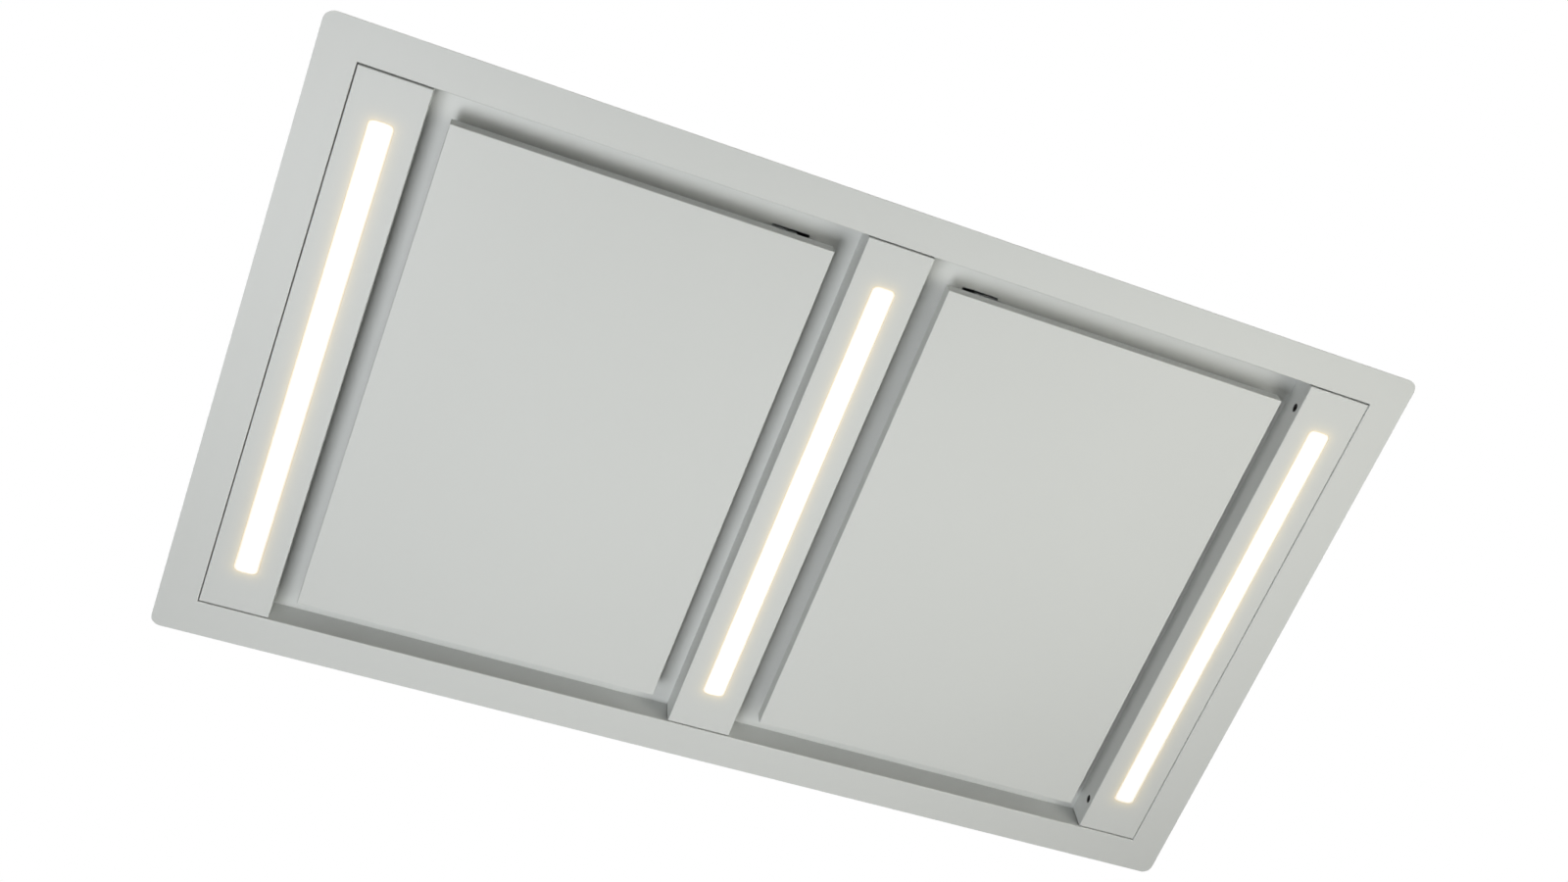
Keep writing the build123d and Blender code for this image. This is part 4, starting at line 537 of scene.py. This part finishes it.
def eased(node, name, width, material=None):
    """A copy of a CAD node with its sharp edges rounded, by a width at most.

    The bevel's clamp limits it for the whole piece, in most of them to far less.
    """
    piece = plain_copy(node, name)
    piece.data.shade_smooth()
    bevel = piece.modifiers.new("eased_edges", "BEVEL")
    bevel.width = width * MM
    bevel.segments = 2
    bevel.limit_method = "ANGLE"
    bevel.angle_limit = math.radians(35)
    bevel.use_clamp_overlap = True
    flats = piece.modifiers.new("flats_stay_flat", "WEIGHTED_NORMAL")
    flats.weight = 100
    apply_modifiers(piece)
    if material:
        piece.data.materials.clear()
        piece.data.materials.append(material)
    return dress(piece, node)


# ------------------------------------------------------------------ geometry trees
def new_tree(name, sizes):
    """A geometry tree with its named sizes: (socket type, name) each."""
    tree = bpy.data.node_groups.new(name, "GeometryNodeTree")
    tree.interface.new_socket("Geometry", in_out="INPUT", socket_type="NodeSocketGeometry")
    for kind, label in sizes:
        tree.interface.new_socket(label, in_out="INPUT", socket_type=kind)
    tree.interface.new_socket("Geometry", in_out="OUTPUT", socket_type="NodeSocketGeometry")
    given = tree.nodes.new("NodeGroupInput").outputs
    return tree, given, tree.nodes.new("NodeGroupOutput").inputs[0]


def grow(piece, tree, **sizes):
    """Run a geometry tree on a piece with these sizes, and keep the result as its plain mesh."""
    modifier = piece.modifiers.new(tree.name, "NODES")
    modifier.node_group = tree
    for item in tree.interface.items_tree:
        label = item.name.lower().replace(" ", "_")
        if item.in_out == "INPUT" and label in sizes:
            modifier[item.identifier] = sizes[label]
    return apply_modifiers(piece)


def vector_of(tree, x=0.0, y=0.0, z=0.0):
    """A vector from three values or sockets."""
    node = tree.nodes.new("ShaderNodeCombineXYZ")
    for socket, value in zip(node.inputs, (x, y, z)):
        put(tree, value, socket)
    return node.outputs[0]


def turn_about(tree, index):
    """1 for even numbers and -1 for odd ones."""
    odd = calculate(tree, "MODULO", index, 2.0)
    return calculate(tree, "SUBTRACT", 1.0, calculate(tree, "MULTIPLY", odd, 2.0))


def as_wire(tree, line, radius, sides, material):
    """A line given a round section, its ends closed, and a material."""
    section = add(tree, "GeometryNodeCurvePrimitiveCircle", resolution=sides, radius=radius)
    wire = add(
        tree,
        "GeometryNodeCurveToMesh",
        curve=line,
        profile_curve=section.outputs[0],
        fill_caps=True,
    )
    return add(
        tree, "GeometryNodeSetMaterial", geometry=wire.outputs[0], material=material
    ).outputs[0]


def make_expanded_layer(material):
    """Zigzag strands side by side, which touch at their bends, over the piece that comes in."""
    tree, given, out = new_tree(
        "expanded_layer",
        [
            ("NodeSocketVector", "Corner"),
            ("NodeSocketFloat", "Width"),
            ("NodeSocketFloat", "Length"),
            ("NodeSocketFloat", "Pitch"),
            ("NodeSocketFloat", "Step"),
            ("NodeSocketFloat", "Wave"),
            ("NodeSocketFloat", "Radius"),
            ("NodeSocketFloat", "Pocket Start"),
            ("NodeSocketFloat", "Pocket End"),
            ("NodeSocketFloat", "Pocket Half"),
            ("NodeSocketFloat", "Core Middle"),
            ("NodeSocketFloat", "Core Share"),
        ],
    )
    side = turn_about(tree, tree.nodes.new("GeometryNodeInputIndex").outputs[0])
    x, y, z = apart(tree, tree.nodes.new("GeometryNodeInputPosition").outputs[0])

    line = add(tree, "GeometryNodeCurvePrimitiveLine", end=vector_of(tree, y=given["Length"]))
    steps = calculate(tree, "DIVIDE", given["Length"], given["Step"])
    bends = add(
        tree,
        "GeometryNodeResampleCurve",
        curve=line.outputs[0],
        count=calculate(tree, "ADD", steps, 1.5),
    )
    half_pitch = calculate(tree, "MULTIPLY", given["Pitch"], 0.5)
    sideways = calculate(tree, "MULTIPLY", side, half_pitch)
    upwards = calculate(tree, "MULTIPLY", side, given["Wave"])
    zigzag = add(
        tree,
        "GeometryNodeSetPosition",
        geometry=bends.outputs[0],
        offset=vector_of(tree, x=sideways, z=upwards),
    )

    columns = calculate(tree, "DIVIDE", given["Width"], given["Pitch"])
    row = add(
        tree,
        "GeometryNodeMeshLine",
        count=calculate(tree, "ADD", columns, 0.5),
        start_location=given["Corner"],
        offset=vector_of(tree, x=given["Pitch"]),
    )
    strands = add(
        tree,
        "GeometryNodeInstanceOnPoints",
        points=row.outputs[0],
        instance=zigzag.outputs[0],
        scale=vector_of(tree, side, 1.0, 1.0),
    )
    real = add(tree, "GeometryNodeRealizeInstances", geometry=strands.outputs[0])

    threads = add(tree, "GeometryNodeCurveToMesh", curve=real.outputs[0])
    past_start = calculate(tree, "GREATER_THAN", x, given["Pocket Start"])
    before_end = calculate(tree, "LESS_THAN", x, given["Pocket End"])
    across = calculate(tree, "LESS_THAN", calculate(tree, "ABSOLUTE", y), given["Pocket Half"])
    between = calculate(tree, "MULTIPLY", past_start, before_end)
    in_pocket = calculate(tree, "MULTIPLY", between, across)
    cut = add(
        tree, "GeometryNodeDeleteGeometry", geometry=threads.outputs[0], selection=in_pocket
    )
    lines = add(tree, "GeometryNodeMeshToCurve", mesh=cut.outputs[0])
    layer = as_wire(tree, lines.outputs[0], given["Radius"], 4, material)

    from_middle = calculate(tree, "SUBTRACT", z, given["Core Middle"])
    thinner = calculate(tree, "MULTIPLY", from_middle, given["Core Share"])
    height = calculate(tree, "ADD", thinner, given["Core Middle"])
    core = add(
        tree,
        "GeometryNodeSetPosition",
        geometry=given["Geometry"],
        position=vector_of(tree, x, y, height),
    )
    joined = tree.nodes.new("GeometryNodeJoinGeometry")
    put(tree, core.outputs[0], joined.inputs[0])
    put(tree, layer, joined.inputs[0])
    put(tree, joined.outputs[0], out)
    return tree


def make_coil(material):
    """A coil spring of round wire, lying along X."""
    tree, given, out = new_tree(
        "coil",
        [
            ("NodeSocketVector", "Start"),
            ("NodeSocketFloat", "Length"),
            ("NodeSocketFloat", "Turns"),
            ("NodeSocketFloat", "Coil Radius"),
            ("NodeSocketFloat", "Wire Radius"),
        ],
    )
    spiral = add(
        tree,
        "GeometryNodeCurveSpiral",
        resolution=20,
        rotations=given["Turns"],
        start_radius=given["Coil Radius"],
        end_radius=given["Coil Radius"],
        height=given["Length"],
    )
    laid = add(
        tree,
        "GeometryNodeTransform",
        geometry=as_wire(tree, spiral.outputs[0], given["Wire Radius"], 8, material),
        translation=given["Start"],
        rotation=(0.0, math.radians(90), 0.0),
    )
    put(tree, laid.outputs[0], out)
    return tree


def filter_mesh(side):
    """A filter's pad: an expanded aluminium layer below, and the layers behind it as one core."""
    node = side + "_filter_mesh"
    low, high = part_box(node)
    piece = plain_copy(node, side + "_layered_mesh")
    piece.data.materials.clear()
    piece.data.materials.append(deep_mesh)
    # The latch sits in a pocket in the pad, beyond this far from the hood's middle
    pocket_edge = 384.7 * MM
    pocket = (-1.0, -pocket_edge) if side == "left" else (pocket_edge, 1.0)
    grow(
        piece,
        expanded_layer,
        corner=(low[0] + 2.2 * MM, low[1] + 0.6 * MM, low[2] + 0.6 * MM),
        width=high[0] - low[0] - 3.4 * MM,
        length=high[1] - low[1] - 1.2 * MM,
        pitch=3.0 * MM,
        step=6.0 * MM,
        wave=0.15 * MM,
        radius=0.42 * MM,
        pocket_start=pocket[0],
        pocket_end=pocket[1],
        pocket_half=28.0 * MM,
        core_middle=(low[2] + high[2]) / 2,
        core_share=0.72,
    )
    return dress(piece, node)


def coil_spring(side):
    """A filter latch's spring as a coil of wire."""
    node = side + "_latch_spring"
    low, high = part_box(node)
    middle = (low + high) / 2
    wire = 0.3 * MM
    piece = bpy.data.objects.new(side + "_coil_spring", bpy.data.meshes.new(side + "_coil_spring"))
    bpy.context.scene.collection.objects.link(piece)
    grow(
        piece,
        coil,
        start=(low[0] + wire, middle[1], middle[2]),
        length=high[0] - low[0] - 2 * wire,
        turns=6.0,
        coil_radius=(high[1] - low[1]) / 2 - wire,
        wire_radius=wire,
    )
    piece.data.shade_smooth()
    dress(piece, node)
    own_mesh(piece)
    return piece


expanded_layer = make_expanded_layer(mill_aluminium)
coil = make_coil(ground_steel)


# ------------------------------------------------------------------ stage, light and camera
def soft_panel(name, bearing, height, distance, size, spread, power, colour):
    """A square soft lamp aimed at the hood, at a bearing and an angle above it, in degrees.

    Its light keeps within its spread, so that a low one doesn't reach the floor.
    """
    lamp = bpy.data.lights.new(name, "AREA")
    lamp.shape = "SQUARE"
    lamp.size = size
    lamp.spread = math.radians(spread)
    lamp.energy = power
    lamp.color = colour
    thing = bpy.data.objects.new(name, lamp)
    level = distance * math.cos(math.radians(height))
    turn = math.radians(bearing)
    rise = distance * math.sin(math.radians(height))
    place = Vector((level * math.cos(turn), level * math.sin(turn), rise))
    thing.location = place
    thing.rotation_euler = (-place).to_track_quat("-Z", "Y").to_euler()
    thing.visible_camera = False
    bpy.context.scene.collection.objects.link(thing)


def seen_directly(tree):
    """1 for camera, glossy and transmission rays."""
    path = tree.nodes.new("ShaderNodeLightPath")
    both = calculate(tree, "MAXIMUM", path.outputs["Is Camera Ray"], path.outputs["Is Glossy Ray"])
    return calculate(tree, "MAXIMUM", both, path.outputs["Is Transmission Ray"])


def make_world(level, warm):
    """A white world to look at, which lights the object at a plain level, a little warm."""
    world = bpy.data.worlds.new("studio")
    bpy.context.scene.world = world
    world.use_nodes = True
    tree = world.node_tree
    seen = seen_directly(tree)
    sky = tree.nodes["Background"]
    put(tree, mixed_colour(tree, seen, warm, WHITE), sky.inputs["Color"])
    put(tree, remap(tree, seen, 0.0, 1.0, level, 1.0), sky.inputs["Strength"])


def make_floor(height, half):
    """The pale floor under the hood, clear when it is looked at from below."""
    mesh = bpy.data.meshes.new("floor")
    corners = [(x * half, y * half, height) for x, y in ((-1, -1), (1, -1), (1, 1), (-1, 1))]
    mesh.from_pydata(corners, [], [(0, 1, 2, 3)])
    floor = bpy.data.objects.new("floor", mesh)
    bpy.context.scene.collection.objects.link(floor)
    material, tree, shader = start_material("pale_floor", roughness=0.6)
    shader.inputs["Base Color"].default_value = (0.50, 0.50, 0.495, 1)
    shader.inputs["Emission Color"].default_value = WHITE
    reach = tree.nodes.new("ShaderNodeVectorMath")
    reach.operation = "LENGTH"
    put(tree, object_position(tree), reach.inputs[0])
    whiter = remap(tree, reach.outputs["Value"], half * 0.3, half * 0.9, 0.5, 1.0)
    glow = calculate(tree, "MULTIPLY", seen_directly(tree), whiter)
    put(tree, glow, shader.inputs["Emission Strength"])
    clear = tree.nodes.new("ShaderNodeBsdfTransparent")
    choice = tree.nodes.new("ShaderNodeMixShader")
    from_below = tree.nodes.new("ShaderNodeNewGeometry").outputs["Backfacing"]
    put(tree, from_below, choice.inputs[0])
    put(tree, shader.outputs[0], choice.inputs[1])
    put(tree, clear.outputs[0], choice.inputs[2])
    put(tree, choice.outputs[0], tree.nodes["Material Output"].inputs["Surface"])
    mesh.materials.append(material)


def make_camera():
    """The photograph's viewpoint, below the hood and to one side.

    Its place, direction and lens were fitted to the rim's four outer corners.
    """
    lens = bpy.data.cameras.new("camera")
    lens.sensor_width = 36.0
    lens.lens = 39.8999
    lens.shift_x = -0.04844
    lens.shift_y = -0.06852
    lens.clip_end = 100.0
    turn = Matrix(
        (
            (0.922439, -0.297479, -0.246196),
            (-0.368461, -0.868820, -0.330739),
            (-0.115512, 0.395800, -0.911043),
        )
    )
    camera = bpy.data.objects.new("camera", lens)
    camera.matrix_world = Matrix.Translation((-0.44983, -0.80189, -1.64197)) @ turn.to_4x4()
    bpy.context.scene.collection.objects.link(camera)
    bpy.context.scene.camera = camera


# CAD nodes, their dressed pieces, and the most that their edges are rounded, in millimetres
eased("face_frame", "painted_rim", 0.6)
eased("base_pan", "painted_pan", 0.2)
for place in ("left", "center", "right"):
    eased(place + "_light_cover", place + "_folded_cover", 0.5, cover_paint)
eased("plenum_casing", "folded_casing", 0.5)
eased("motor_box", "folded_motor_box", 0.5)
eased("control_box", "folded_control_box", 0.4)
eased("control_box_lid", "folded_lid", 0.3)
eased("duct_collar", "moulded_collar", 0.4)
for side in ("left", "right"):
    eased(side + "_panel", side + "_folded_panel", 0.25)
    filter_mesh(side)
    coil_spring(side)

make_world(level=0.055, warm=(1.12, 1.0, 0.60, 1))
make_floor(height=-3.0, half=9.0)
# Bearing, angle above the hood, distance, size, spread, power and colour of each lamp
soft_panel("key_panel", 168.0, -62.0, 2.0, 0.8, 120.0, 9.8, (0.98, 1.0, 1.02))
soft_panel("low_panel", -24.0, -36.0, 1.7, 1.2, 84.0, 3.5, (1.02, 1.01, 0.95))
soft_panel("side_panel", -10.0, -45.0, 1.7, 1.0, 90.0, 1.25, (1.02, 1.01, 0.95))
soft_panel("top_panel", 40.0, 60.0, 3.2, 1.6, 64.0, 13.0, (1.0, 1.0, 1.0))
soft_panel("back_panel", 215.0, 48.0, 3.2, 1.6, 64.0, 9.0, (1.0, 1.0, 1.0))
make_camera()
bpy.context.scene.view_settings.view_transform = "Standard"
